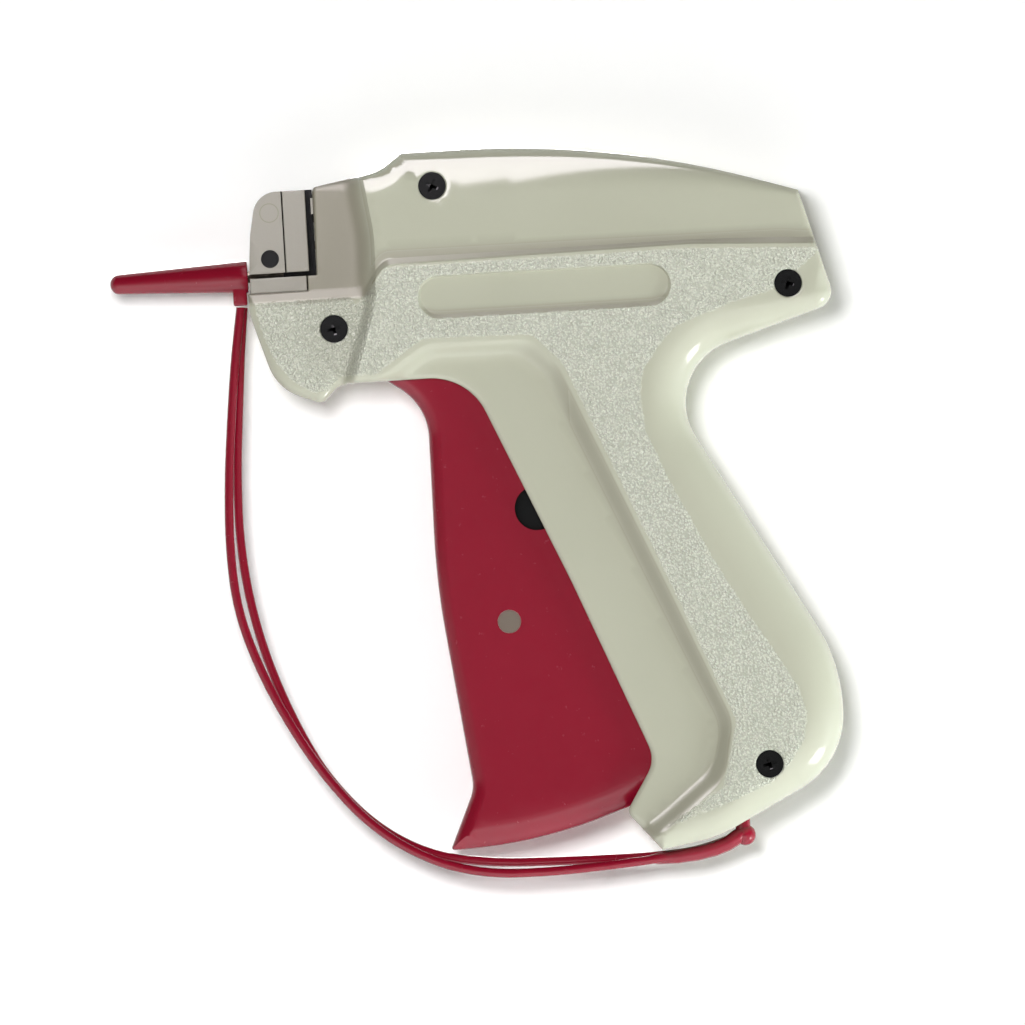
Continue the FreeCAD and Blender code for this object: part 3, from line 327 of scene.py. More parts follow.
def depth_and_rounds(points, loop):
    """Distance to a closed outline, positive inside, and the sizes of its edge round there."""
    a = loop[:, :2]
    b = np.roll(a, -1, axis=0)
    ab = b - a
    size = np.maximum((ab ** 2).sum(1), 1e-12)
    following = np.roll(loop, -1, axis=0)
    distance = np.empty(len(points))
    rounds = np.empty((len(points), loop.shape[1] - 2))
    batch = 3000
    for start in range(0, len(points), batch):
        now = slice(start, start + batch)
        q = points[now, None, :2]
        t = np.clip(((q - a) * ab).sum(2) / size, 0.0, 1.0)
        gap = q - a - ab * t[..., None]
        reach = np.hypot(gap[..., 0], gap[..., 1])
        nearest = reach.argmin(1)
        rows = np.arange(len(nearest))
        across = (a[:, 1] > q[..., 1]) != (b[:, 1] > q[..., 1])
        with np.errstate(divide="ignore", invalid="ignore"):
            meet = ab[:, 0] * (q[..., 1] - a[:, 1]) / ab[:, 1] + a[:, 0]
        crossings = (across & (q[..., 0] < meet)).sum(1)
        distance[now] = reach[rows, nearest] * np.where(crossings % 2 == 1, 1.0, -1.0)
        share = t[rows, nearest][:, None]
        rounds[now] = loop[nearest, 2:] * (1 - share) + following[nearest, 2:] * share
    return distance, rounds


def depth_in(points, loop):
    """Distance to a closed outline, positive inside."""
    return depth_and_rounds(points, loop)[0]


def inward(loop):
    """Unit normals into a closed outline, longer at corners so that offsets keep their distance."""
    a = loop[:, :2]
    along = np.roll(a, -1, axis=0) - a
    along /= np.maximum(np.linalg.norm(along, axis=1), 1e-9)[:, None]
    before = np.roll(along, 1, axis=0)
    area = (a[:, 0] * np.roll(a[:, 1], -1) - np.roll(a[:, 0], -1) * a[:, 1]).sum()
    turn = 1.0 if area > 0 else -1.0
    normal = np.stack((-(along[:, 1] + before[:, 1]), along[:, 0] + before[:, 0]), 1) * turn
    normal /= np.maximum(np.linalg.norm(normal, axis=1), 1e-9)[:, None]
    own = np.stack((-along[:, 1], along[:, 0]), 1) * turn
    return normal / np.maximum((normal * own).sum(1), 0.5)[:, None]


def offsets(loop, distances):
    """Rows of points that follow an outline, each at its distance inside it."""
    return np.vstack([loop[:, :2] + inward(loop) * d for d in distances])


def rows_between(outer, inner, shares):
    """Rows of points on the way from an outline to the one within it."""
    width = -depth_in(outer, inner)
    return np.vstack([outer[:, :2] + inward(outer) * (width * t)[:, None] for t in shares])


def rim_rows(loop, steps=9):
    """Rows of points inside an outline, close together where the edge round is steep."""
    rows = []
    for k in range(1, steps + 1):
        away = loop[:, 2] * (1 - math.cos(math.pi / 2 * k / steps))
        points = loop[:, :2] + inward(loop) * away[:, None]
        rows.append(points[depth_in(points, loop) > away - 0.03])
    return np.vstack(rows)


def rim_drop(distance, rounds):
    """How far the surface falls towards an outline with an elliptical edge round."""
    share = np.clip(distance / np.maximum(rounds[:, 0], 1e-6), 0.0, 1.0)
    return rounds[:, 1] * (1 - np.sqrt(np.maximum(1 - (1 - share) ** 2, 0.0)))


def ramp(values, start, end):
    """Goes from 0 at the start to 1 at the end, and stays there."""
    return np.clip((values - start) / (end - start), 0.0, 1.0)


def softened(share):
    """A share between 0 and 1 with a soft start and end."""
    return share * share * (3 - 2 * share)


def share_between(points, outer, inner):
    """0 outside an outline, 1 inside the one within it, and steady between the two."""
    from_outer, from_inner = depth_in(points, outer), depth_in(points, inner)
    share = ramp(from_outer, 0.0, np.maximum(from_outer - np.minimum(from_inner, 0.0), 1e-6))
    return np.where(from_inner > 0, 1.0, np.where(from_outer > 0, share, 0.0))


def circle(centre, radius, count=48):
    """Points round a circle."""
    turn = np.arange(count) * 2 * math.pi / count
    return np.stack((centre[0] + radius * np.cos(turn), centre[1] + radius * np.sin(turn)), 1)


def filled(loops, holes, extra, spacing):
    """Triangles of the area inside all loops and outside the holes, through the extra points."""
    outer = loops[0]
    fixed = np.vstack([outer[:, :2]] + list(holes))
    extra = extra[np.all([depth_in(extra, loop) > 0.02 for loop in loops], axis=0)]
    for hole in holes:
        extra = extra[depth_in(extra, hole) < -0.03]
    cuts = [loop[depth_in(loop, outer) > 0.02][:, :2] for loop in loops[1:]]
    # The rest of the area is filled with staggered rows, clear of the points that are there.
    low, high = fixed.min(0), fixed.max(0)
    grid = np.array([(x + (spacing / 2 if j % 2 else 0.0), z)
                     for j, z in enumerate(np.arange(low[1], high[1], spacing * 0.87))
                     for x in np.arange(low[0], high[0], spacing)])
    inside = np.all([depth_in(grid, loop) > spacing * 0.5 for loop in loops], axis=0)
    for hole in holes:
        inside &= depth_in(grid, hole) < -spacing * 0.5
    taken = np.vstack([fixed, extra] + cuts)
    near = KDTree(len(taken))
    for i, p in enumerate(taken):
        near.insert((p[0], p[1], 0.0), i)
    near.balance()
    grid = [p for p in grid[inside] if near.find((p[0], p[1], 0.0))[2] > spacing * 0.6]
    points = np.vstack([taken] + ([np.array(grid)] if grid else []))
    edges = []
    start = 0
    for ring in [outer] + list(holes):
        count = len(ring)
        edges += [(start + i, start + (i + 1) % count) for i in range(count)]
        start += count
    points, _, faces, *_ = delaunay_2d_cdt([Vector(p) for p in points], edges, [], 0, 1e-5)
    points = np.array([(p.x, p.y) for p in points])
    faces = np.array([f for f in faces if len(f) == 3])
    middle = points[faces].mean(1)
    keep = np.all([depth_in(middle, loop) > 0 for loop in loops], axis=0)
    for hole in holes:
        keep &= depth_in(middle, hole) < 0
    return points, faces[keep]


class Shell:
    """One half of a moulding: outer skin, its edge walls, holes, and the hollow behind it."""

    def __init__(self, side):
        self.side = side
        self.verts = []
        self.faces = []

    def add(self, points, levels, faces):
        """Adds faces over points (x, z) that stand at their levels from the joint plane."""
        start = len(self.verts)
        self.verts += [(x, self.side * level, z) for (x, z), level in zip(points, levels)]
        self.faces += [tuple(int(i) + start for i in face) for face in faces]

    def wall(self, row, top, low, closed=True):
        """Adds a wall along a row of points between two levels."""
        count = len(row)
        faces = [(i, (i + 1) % count, count + (i + 1) % count, count + i)
                 for i in range(count if closed else count - 1)]
        self.add(np.vstack([row, row]), np.concatenate([top, low]), faces)


# The outline's stretches, as corners (x, z, radius, width and depth of the edge round).
front_top = [(-65.1, 78.5, 1.1, 1.0, 1.0), (-51.5, 80.9, 10.0, 4.0, 3.0)]
barrel_top = [(-47.0, 84.3, 2.0, 9.0, 4.6), (-5.6, 84.4, 190.0, 10.0, 5.4), (31.9, 72.3, 0, 0.9, 0.7)]
tail = [(36.1, 57.0, 0, 1.3, 1.0), (38.2, 49.5, 3.6, 3.6, 3.0), (0.86, 38.0, 12.8, 8.0, 6.4)]
heel = [(34.8, -22.4, 34.0, 8.0, 6.4), (34.8, -42.5, 17.0, 8.0, 6.6), (8.4, -56.0, 25.0, 5.0, 4.4),
        (-2.9, -57.9, 0, 3.0, 2.4)]
lip = [(-9.6, -49.9, 1.9, 1.2, 0.9), (-3.35, -39.8, 6.0, 1.2, 0.9)]
grip_front = [(-17.9, -3.3, 200.0, 1.1, 0.8), (-36.2, 39.0, 12.0, 1.1, 0.8)]
nose_under = [(-61.9, 38.95, 5.0, 2.4, 2.2), (-65.4, 35.1, 2.0, 2.0, 2.0),
              (-74.4, 38.7, 10.0, 1.8, 1.8), (-79.1, 54.0, 8.0, 1.6, 1.6), (-79.1, 57.9, 0, 0.5, 0.5)]
shelf = [(-67.0, 57.9, 0, 0.3, 0.3), (-67.0, 60.95, 0, 0.3, 0.3), (-65.1, 60.95, 0, 0.3, 0.3)]
housing_loop = path_of(front_top + barrel_top + tail + heel + lip + grip_front + nose_under + shelf)
# The barrel's wide top round narrows steadily to a crisp rear edge.
narrow_from, narrow_to, barrel_above = -25.0, 31.9, 72.2
wide_round, crisp_round = np.array((10.0, 5.4)), np.array((1.4, 1.0))
on_barrel = (housing_loop[:, 0] > narrow_from) & (housing_loop[:, 1] > barrel_above)
share_back = (housing_loop[on_barrel, :1] - narrow_from) / (narrow_to - narrow_from)
housing_loop[on_barrel, 2:] = wide_round + (crisp_round - wide_round) * share_back


def plain(points, radii=None):
    """Closed outline from corners (x, z) with their radii, without an edge round."""
    radii = radii or [0] * len(points)
    return path_of([(x, z, radius, 1.0, 1.0) for (x, z), radius in zip(points, radii)])


recess_radii = [0, 0, 6.0, 5.0, 4.0, 100.0, 9.0, 9.0, 0, 0, 0]
recess_edge = plain([(-60.0, 36.0), (-51.6, 41.5), (-44.4, 46.2), (-23.0, 45.8), (-17.6, 39.6),
                     (3.4, -10.0), (12.9, -33.0), (10.6, -44.8), (0.0, -53.2), (-14.0, -62.0),
                     (-30.0, -20.0)], recess_radii)
recess_floor = plain([(-58.0, 33.0), (-48.0, 39.5), (-43.0, 42.8), (-26.0, 42.8), (-21.2, 38.6),
                      (0.0, -11.0), (9.9, -34.0), (8.0, -41.6), (-2.0, -49.6), (-16.0, -60.0),
                      (-32.0, -20.0)], recess_radii)
ridge_radii = [0, 0, 3.5, 20.0, 0, 0, 0]
ridge_line = plain([(-70.0, 55.0), (-56.4, 55.4), (-51.4, 62.1), (10.0, 62.7), (50.0, 60.6),
                    (50.0, 95.0), (-70.0, 95.0)], ridge_radii)
ridge_foot = plain([(-70.0, 57.0), (-57.4, 58.0), (-52.2, 65.3), (28.0, 65.0), (50.0, 62.6),
                    (50.0, 95.0), (-70.0, 95.0)], ridge_radii)
body_front = plain([(-61.6, 39.0), (-56.2, 55.0), (-55.8, 68.0), (-57.4, 79.6), (-54.0, 90.0),
                    (60.0, 90.0), (60.0, -70.0), (-61.6, -70.0)], [0, 20.0, 30.0, 0, 0, 0, 0, 0])
badge_loop = plain([(-45.3, 59.4), (5.4, 59.4), (5.4, 50.8), (-45.3, 50.8)], [4.28] * 4)
grain_zone = plain([(-57.6, 54.4), (-53.6, 59.0), (-51.2, 61.6), (7.0, 62.0), (36.0, 60.6),
                    (30.0, 55.5), (24.8, 52.4), (17.4, 50.7), (12.3, 48.8), (6.1, 46.7), (2.4, 43.0),
                    (-1.2, 38.0), (-2.0, 33.2), (-1.4, 26.1), (2.8, 15.9), (9.5, 2.0), (16.0, -10.0),
                    (21.1, -18.3), (26.1, -26.8), (27.6, -32.1), (26.8, -37.3), (23.3, -42.5),
                    (19.7, -45.8), (9.2, -50.0), (-2.0, -53.5), (10.0, -46.0), (13.4, -33.2),
                    (3.8, -9.6), (-17.0, 40.2), (-23.0, 46.6), (-44.8, 47.0), (-52.6, 41.8),
                    (-54.5, 40.4), (-61.5, 40.4), (-64.6, 37.6), (-67.2, 37.4), (-71.5, 40.2),
                    (-75.0, 45.0), (-77.0, 50.7), (-77.9, 55.9), (-58.6, 56.2)])
# Levels are distances of the skin from the joint plane.
panel_level, barrel_level, recess_level, nose_level, neck_level = 13.5, 12.3, 10.9, 9.6, 8.9
ridge_steep = 0.42
badge_deep, badge_lead = 0.9, 0.05
front_out, front_in = 2.4, 2.6
# Each screw's place and the level of the skin round its sink.
screw_places = {"barrel": (-41.1, 77.4, 12.3), "nose": (-62.35, 50.0, 9.6),
                "tail": (28.84, 53.8, 13.5), "heel": (19.5, -42.0, 13.5)}
sink_radius, sink_deep = 2.8, 3.1
sink_lip_width, sink_lip_drop = 0.3, 0.22


def housing_level(points, sinks):
    """Level of the outer skin."""
    share = share_between(points, ridge_line, ridge_foot)
    level = panel_level - (panel_level - barrel_level) * np.minimum(share / ridge_steep, 1.0)
    share = share_between(points, recess_edge, recess_floor)
    level = level - (panel_level - recess_level) * softened(share)
    # The badge's wall is steep along its top and wider along its foot.
    wall = 0.4 + 0.45 * ramp(points[:, 1], 56.8, 52.8)
    level = level - badge_deep * ramp(depth_in(points, badge_loop), -badge_lead, wall - badge_lead)
    # The body rises from the nose softly, and from the neck of the barrel in a rounder sweep.
    neck = ramp(points[:, 1], 56.0, 58.1)
    nose = nose_level - (nose_level - neck_level) * neck
    front = depth_in(points, body_front)
    low = softened(ramp(front, 0.0, front_in))
    high = ramp(front, -front_out, front_in) ** 2
    rise = low + (high - low) * ramp(points[:, 1], 54.0, 60.0)
    level = np.where(front > -front_out, nose + (level - nose) * rise, nose)
    level = level - rim_drop(*depth_and_rounds(points, housing_loop))
    for x, z, _ in sinks:
        away = np.hypot(points[:, 0] - x, points[:, 1] - z) - sink_radius
        level = level - sink_lip_drop * ramp(away, sink_lip_width, 0.0) ** 2
    return level


# Rows of points that the skin's triangles follow where it bends, each at its share
# of the way between two outlines or at its distance inside one.
recess_rows = rows_between(recess_edge, recess_floor, (0.0, 0.15, 0.35, 0.5, 0.65, 0.85, 1.0))
ridge_rows = rows_between(ridge_line, ridge_foot,
                          (-0.05, 0.0, 0.05, 0.15, 0.27, 0.37, 0.42, 0.47, 0.6, 0.8, 1.0))
front_rows = offsets(body_front, (-2.4, -1.8, -1.2, -0.6, 0.0, 0.5, 1.0, 1.5, 2.0, 2.6, 2.8))
badge_rows = offsets(badge_loop, (-0.2, -0.05, 0.1, 0.25, 0.36, 0.45, 0.6, 0.8, 0.92, 1.1, 1.5,
                                  2.0, 2.6))
neck_rows = np.array([(x, z) for z in (55.8, 56.0, 56.4, 57.0, 57.6, 58.1, 58.3)
                      for x in np.arange(-79.0, -55.0, 0.8)])
housing_rows = np.vstack([rim_rows(housing_loop), recess_rows, ridge_rows, front_rows, badge_rows,
                          neck_rows])

# The hollow leaves room for the trigger's and the lever's whole swing, and a
# groove through its front walls for the push rod.
mouth = plain([(-54.3, 30.0), (-54.3, 56.0), (-63.8, 58.5), (-63.8, 76.0), (-48.0, 79.0),
               (-6.0, 78.5), (24.0, 71.0), (31.0, 62.0), (31.0, 53.5), (14.0, 47.5), (4.5, 40.5),
               (5.5, 28.0), (31.5, -20.0), (31.0, -25.0), (22.8, -31.3), (14.2, -37.8),
               (8.0, -41.8), (1.4, -45.3), (-9.0, -50.9), (-30.0, -60.0)])
mouth_level = 8.35
groove_level, groove_half, groove_end = 1.2, 1.9, -60.0
joint_bevel = 0.14


def wall_foot(points, foot):
    """Level where a wall ends towards the joint plane."""
    by_rod = (np.abs(points[:, 1] - needle_z) < groove_half) & (points[:, 0] < groove_end)
    return np.where(by_rod, groove_level, foot)


def mark_grain_and_painted_shade(piece):
    """Marks on a half's points how far inside the grain they lie, and where shade is painted.

    Painted shade darkens and warms the neck behind the head, the ridge's slope, the badge's foot
    and the rear wall of the finger recess. The marks fade out over a millimetre or so.
    """
    spots = np.array([(v.co.x / MM, v.co.z / MM) for v in piece.data.vertices])
    levels = np.array([abs(v.co.y) / MM for v in piece.data.vertices])
    badge = depth_in(spots, badge_loop)
    grain = np.clip(np.minimum(depth_in(spots, grain_zone), -badge), -4.0, 4.0)
    grain = np.where(levels > 6.0, grain, -4.0)
    front, rise = depth_in(spots, body_front), spots[:, 1]
    # Painted shade: the neck, the ridge's slope, the badge's foot and the recess's rear wall are marked
    # for a darker, warmer colour.
    warm = ramp(front, 3.15, -0.35) * ramp(rise, 55.6, 56.4)
    ridge, foot = depth_in(spots, ridge_line), depth_in(spots, ridge_foot)
    slope = ramp(ridge, 0.0, 0.5) * ramp(foot, 0.5, -0.7)
    scoop = ramp(badge, 0.0, 0.3) * ramp(badge, 2.4, 1.2) * ramp(rise, 53.6, 52.1)
    warm = np.maximum(warm, 0.55 * np.maximum(slope, scoop))
    edge, floor_depth = depth_in(spots, recess_edge), depth_in(spots, recess_floor)
    slope = ramp(edge, 0.0, 0.5) * ramp(floor_depth, 0.4, -0.5) * ramp(spots[:, 0], -20.0, -16.0)
    warm = np.maximum(warm, 0.42 * slope)
    for label, values in (("grain", grain), ("warm", warm)):
        layer = piece.data.attributes.new(label, "FLOAT", "POINT")
        layer.data.foreach_set("value", values.astype(np.float32))


def housing_half(name, side, sinks, material):
    """One half: skin, joint edge, hollow with its walls, and a round sink for each screw."""
    shell = Shell(side)
    holes = [circle((x, z), sink_radius) for x, z, _ in sinks]
    rims = [circle((x, z), sink_radius + d) for x, z, _ in sinks for d in (0.1, 0.2, 0.32)]
    points, faces = filled([housing_loop], holes, np.vstack(rims + [housing_rows]), 1.5)
    shell.add(points, housing_level(points, sinks), faces)
    ring = housing_loop[:, :2]
    in_mouth = depth_in(ring, mouth) > -0.01
    low = np.where(in_mouth, mouth_level, wall_foot(ring, joint_bevel))
    shell.wall(ring, housing_level(ring, sinks), low)
    bevel = ring + inward(housing_loop) * joint_bevel
    count = len(ring)
    shell.add(np.vstack([ring, bevel]), np.concatenate([low, np.where(low > joint_bevel, low, 0.0)]),
              [(i, (i + 1) % count, count + (i + 1) % count, count + i) for i in range(count)
               if not in_mouth[i] and not in_mouth[(i + 1) % count]])
    points, faces = filled([housing_loop, mouth], [], mouth[:, :2], 4.0)
    shell.add(points, np.full(len(points), mouth_level), faces)
    wall = mouth[depth_in(mouth, housing_loop) > 0][:, :2]
    shell.wall(wall, np.full(len(wall), mouth_level), wall_foot(wall, 0.0), closed=False)
    for (x, z, level), hole in zip(sinks, holes):
        count = len(hole)
        seat = np.full(count + 1, level - sink_deep)
        shell.wall(hole, housing_level(hole, sinks), seat[:count])
        shell.add(np.vstack([hole, [[x, z]]]), seat, [(i, (i + 1) % count, count) for i in range(count)])
    piece = finished(name, shell.verts, shell.faces, material, "housing",
                     [name.replace("_moulding", "")], 38.0)
    mark_grain_and_painted_shade(piece)


# ABS from a tool with polished walls and spark-eroded panels: sage green, glossy
# where it is smooth, with a grain of shallow worm-like pebbles half a millimetre
# across that break the light into fine specks. Shade is painted into its colour
# in the pits of the grain and on some steep walls.
sage, tree = new_material("sage ABS with moulded leather grain")
where = add_node(tree, "ShaderNodeTexCoord").outputs["Object"]
# The grain ends in a ragged line: a noise 1.4 mm wide moves the border by half a millimetre.
grain_border = add_node(tree, "ShaderNodeAttribute", attribute_name="grain")
ragged = add_node(tree, "ShaderNodeTexNoise", {"Vector": where},
                  Scale=700.0, Detail=2.0, Roughness=0.5)
wander = add_node(tree, "ShaderNodeMath",
                  {0: ragged.outputs["Fac"], 2: grain_border.outputs["Fac"]},
                  operation="MULTIPLY_ADD", _1=0.6)
grained = add_node(tree, "ShaderNodeMapRange", {"Value": wander.outputs["Value"]},
                   _1=0.1, _2=0.6, _3=0.0, _4=1.0)
# The pebbles are 0.43 mm wide, and a noise bends their rows into a maze.
bend = add_node(tree, "ShaderNodeTexNoise", {"Vector": where}, Scale=1400.0, Detail=1.0)
shifted = add_node(tree, "ShaderNodeVectorMath", {0: bend.outputs["Color"]},
                   operation="SCALE", Scale=0.0007)
moved = add_node(tree, "ShaderNodeVectorMath", {0: where, 1: shifted.outputs["Vector"]},
                 operation="ADD")
pebbles = add_node(tree, "ShaderNodeTexVoronoi", {"Vector": moved.outputs["Vector"]},
                   feature="SMOOTH_F1", Scale=2300.0, Smoothness=0.5)
relief = add_node(tree, "ShaderNodeMath", {1: pebbles.outputs["Distance"]},
                  operation="SUBTRACT", _0=0.6)
raised = add_node(tree, "ShaderNodeMath",
                  {0: relief.outputs["Value"], 1: grained.outputs["Result"]}, operation="MULTIPLY")
bump = add_node(tree, "ShaderNodeBump", {"Height": raised.outputs["Value"]},
                Strength=1.0, Distance=0.0004)
mist = add_node(tree, "ShaderNodeTexNoise", {"Vector": where},
                Scale=4200.0, Detail=1.0, Roughness=0.5)
fine_bump = add_node(tree, "ShaderNodeBump",
                     {"Height": mist.outputs["Fac"], "Normal": bump.outputs["Normal"]},
                     Strength=0.12, Distance=0.00003)
# Grain crests are painted paler than the smooth skin and its pits darker, as light and shade,
# and steep walls get a painted darker, warmer shade and are duller.
_, smooth_tone = mottled(tree, where, "#AAAA98", "#B0B09E", Scale=40.0, Detail=3.0, Roughness=0.55)
crest = add_node(tree, "ShaderNodeMapRange", {"Value": relief.outputs["Value"]},
                 _1=0.0, _2=0.5, _3=0.0, _4=1.0)
grain_painted_shading = add_node(tree, "ShaderNodeMix", {"Factor": crest.outputs["Result"]},
                      data_type="RGBA", _6=hex_colour("#A6A898"), _7=hex_colour("#CED0C0"))
body_tone = add_node(tree, "ShaderNodeMix",
                     {"Factor": grained.outputs["Result"], 6: smooth_tone, 7: grain_painted_shading.outputs[2]},
                     data_type="RGBA")
# Painted shade: marked walls are darkened towards a warm grey.
painted_shade_mask = add_node(tree, "ShaderNodeAttribute", attribute_name="warm")
painted_shade_tone = add_node(tree, "ShaderNodeMix",
                     {"Factor": painted_shade_mask.outputs["Fac"], 6: body_tone.outputs[2]},
                     data_type="RGBA", _7=hex_colour("#7B7767"))
gloss = add_node(tree, "ShaderNodeMapRange", {"Value": grained.outputs["Result"]},
                 _1=0.0, _2=1.0, _3=0.12, _4=0.45)
dull = add_node(tree, "ShaderNodeMath",
                {0: painted_shade_mask.outputs["Fac"], 2: gloss.outputs["Result"]},
                operation="MULTIPLY_ADD", _1=0.4)
shade = add_node(tree, "ShaderNodeBsdfPrincipled",
                 {"Base Color": painted_shade_tone.outputs[2], "Roughness": dull.outputs["Value"],
                  "Normal": fine_bump.outputs["Normal"]}, IOR=1.53)
add_node(tree, "ShaderNodeOutputMaterial", {"Surface": shade.outputs["BSDF"]})

housing_half("left_housing_moulding", -1.0, list(screw_places.values()), sage)
housing_half("right_housing_moulding", 1.0, [], sage)


# ------------------------------------------------------------------ head
# Small blocks of the same ABS in a warmer, finer finish that carry the needle
# and guide the fastener: front block, guide, clamp and the frame behind them.
taupe, tree = new_material("taupe ABS, fine satin")
where = add_node(tree, "ShaderNodeTexCoord").outputs["Object"]
specks, tone = mottled(tree, where, "#878378", "#8C887E", Scale=2600.0, Detail=3.0, Roughness=0.6)
# The tool's ejector pin leaves a faint ring on each side of the head.
flat_spot = add_node(tree, "ShaderNodeVectorMath", {0: where}, operation="MULTIPLY",
                     _1=(1.0, 0.0, 1.0))
from_pin = add_node(tree, "ShaderNodeVectorMath", {0: flat_spot.outputs["Vector"]},
                    operation="DISTANCE", _1=(-0.07395, 0.0, 0.0739))
ring_line = add_node(tree, "ShaderNodeMath", {0: from_pin.outputs["Value"]},
                     operation="COMPARE", _1=0.00185, _2=0.00009)
marked = add_node(tree, "ShaderNodeMix", {"Factor": ring_line.outputs["Value"], 6: tone},
                  data_type="RGBA", _7=hex_colour("#7A7765"))
dents = add_node(tree, "ShaderNodeBump", {"Height": specks}, Strength=0.25, Distance=0.00003)
shade = add_node(tree, "ShaderNodeBsdfPrincipled",
                 {"Base Color": marked.outputs[2], "Normal": dents.outputs["Normal"]},
                 Roughness=0.38, IOR=1.53)
add_node(tree, "ShaderNodeOutputMaterial", {"Surface": shade.outputs["BSDF"]})

# Small metal and nylon parts are blackened: near black with a soft oily gloss.
# The same black is painted on the head frame's face behind the slot as shade.
black, tree = new_material("black oxide steel and black nylon")
where = add_node(tree, "ShaderNodeTexCoord").outputs["Object"]
_, tone = mottled(tree, where, "#080808", "#0F0F10", Scale=1500.0, Detail=3.0, Roughness=0.6)
shade = add_node(tree, "ShaderNodeBsdfPrincipled", {"Base Color": tone}, Roughness=0.2, IOR=1.4)
add_node(tree, "ShaderNodeOutputMaterial", {"Surface": shade.outputs["BSDF"]})


def eased_copy(node, material, ease, moved_planes=(), painted_shadow_plane=None):
    """Copy of a head block with eased left edges.

    Each of moved_planes is a plane's place along X and its shift, to open a joint.
    Faces that look left on the plane given last are painted black, as the shade seen through the slot
    and gaps.
    """
    work = bmesh.new()
    work.from_mesh(bpy.data.objects[node].data)
    bmesh.ops.remove_doubles(work, verts=work.verts, dist=2e-6)
    bmesh.ops.dissolve_limit(work, angle_limit=math.radians(1.5), verts=work.verts, edges=work.edges)
    for plane, shift in moved_planes:
        for v in work.verts:
            if abs(v.co.x / MM - plane) < 0.02:
                v.co.x += shift * MM
    left = min(v.co.y for v in work.verts)
    rim = [e for e in work.edges
           if len(e.link_faces) == 2 and e.calc_face_angle(0.0) > math.radians(40.0)
           and e.calc_length() > 0.5 * MM and all(abs(v.co.y - left) < 1e-5 for v in e.verts)]
    made = bmesh.ops.bevel(work, geom=rim, offset=ease * MM, segments=3, profile=0.5,
                           affect="EDGES", clamp_overlap=True)
    rounded = set(made["faces"])
    small_area = 12.0 * MM * MM
    for face in work.faces:
        face.smooth = face in rounded or face.calc_area() < small_area
        # Painted shadow: the frame's left faces on that plane take the black material.
        painted_shadow = (painted_shadow_plane is not None and face.normal.y < -0.9
                and abs(face.calc_center_median().y / MM - painted_shadow_plane) < 0.05)
        face.material_index = 1 if painted_shadow else 0
    for edge in work.edges:
        edge.smooth = len(edge.link_faces) == 2 and edge.calc_face_angle(0.0) < math.radians(35.0)
    mesh = bpy.data.meshes.new(node + "_block")
    work.to_mesh(mesh)
    work.free()
    mesh.materials.append(material)
    mesh.materials.append(black)
    piece = bpy.data.objects.new(node + "_block", mesh)
    bpy.context.scene.collection.objects.link(piece)
    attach(piece, "housing")
    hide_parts(node)


eased_copy("front_block", taupe, 0.22)
eased_copy("feed_guide", taupe, 0.22, [(-71.375, 0.2)])
eased_copy("needle_clamp", taupe, 0.18, [(-67.05, -0.16)])
# The frame's face behind the slot and gaps is painted black as shade.
eased_copy("head_frame", taupe, 0.1, painted_shadow_plane=2.6)


def dress(material, *nodes):
    """Puts a material on CAD nodes whose shape is right as it is."""
    for name in nodes:
        mesh = bpy.data.objects[name].data
        if mesh.materials:
            for i in range(len(mesh.materials)):
                mesh.materials[i] = material
        else:
            mesh.materials.append(material)


dress(taupe, "clip_brake")


# ------------------------------------------------------------------ steel and black parts
# Needle, pins, spring and blade are ground steel. The needle lock, the feed and
# the drive are blackened steel or black nylon; the lock's end shows as a dark
# round on the front block.
steel, tree = new_material("ground stainless steel")
where = add_node(tree, "ShaderNodeTexCoord").outputs["Object"]
lines = add_node(tree, "ShaderNodeTexNoise", {"Vector": where},
                 Scale=3500.0, Detail=3.0, Roughness=0.6)
ground = add_node(tree, "ShaderNodeMapRange", {"Value": lines.outputs["Fac"]},
                  _1=0.3, _2=0.7, _3=0.28, _4=0.42)
shade = add_node(tree, "ShaderNodeBsdfPrincipled", {"Roughness": ground.outputs["Result"]},
                 Base_Color=hex_colour("#877D71"), Metallic=1.0)
add_node(tree, "ShaderNodeOutputMaterial", {"Surface": shade.outputs["BSDF"]})
dress(steel, "needle", "needle_holder", "knife_blade", "feed_axle", "slide_pin", "push_rod",
      "lever_pin", "trigger_pin", "link_pin", "return_spring")
dress(black, "lock_shaft", "lock_knob", "feed_wheel", "feed_rocker", "feed_link", "slide",
      "slide_buffer", "drive_lever")


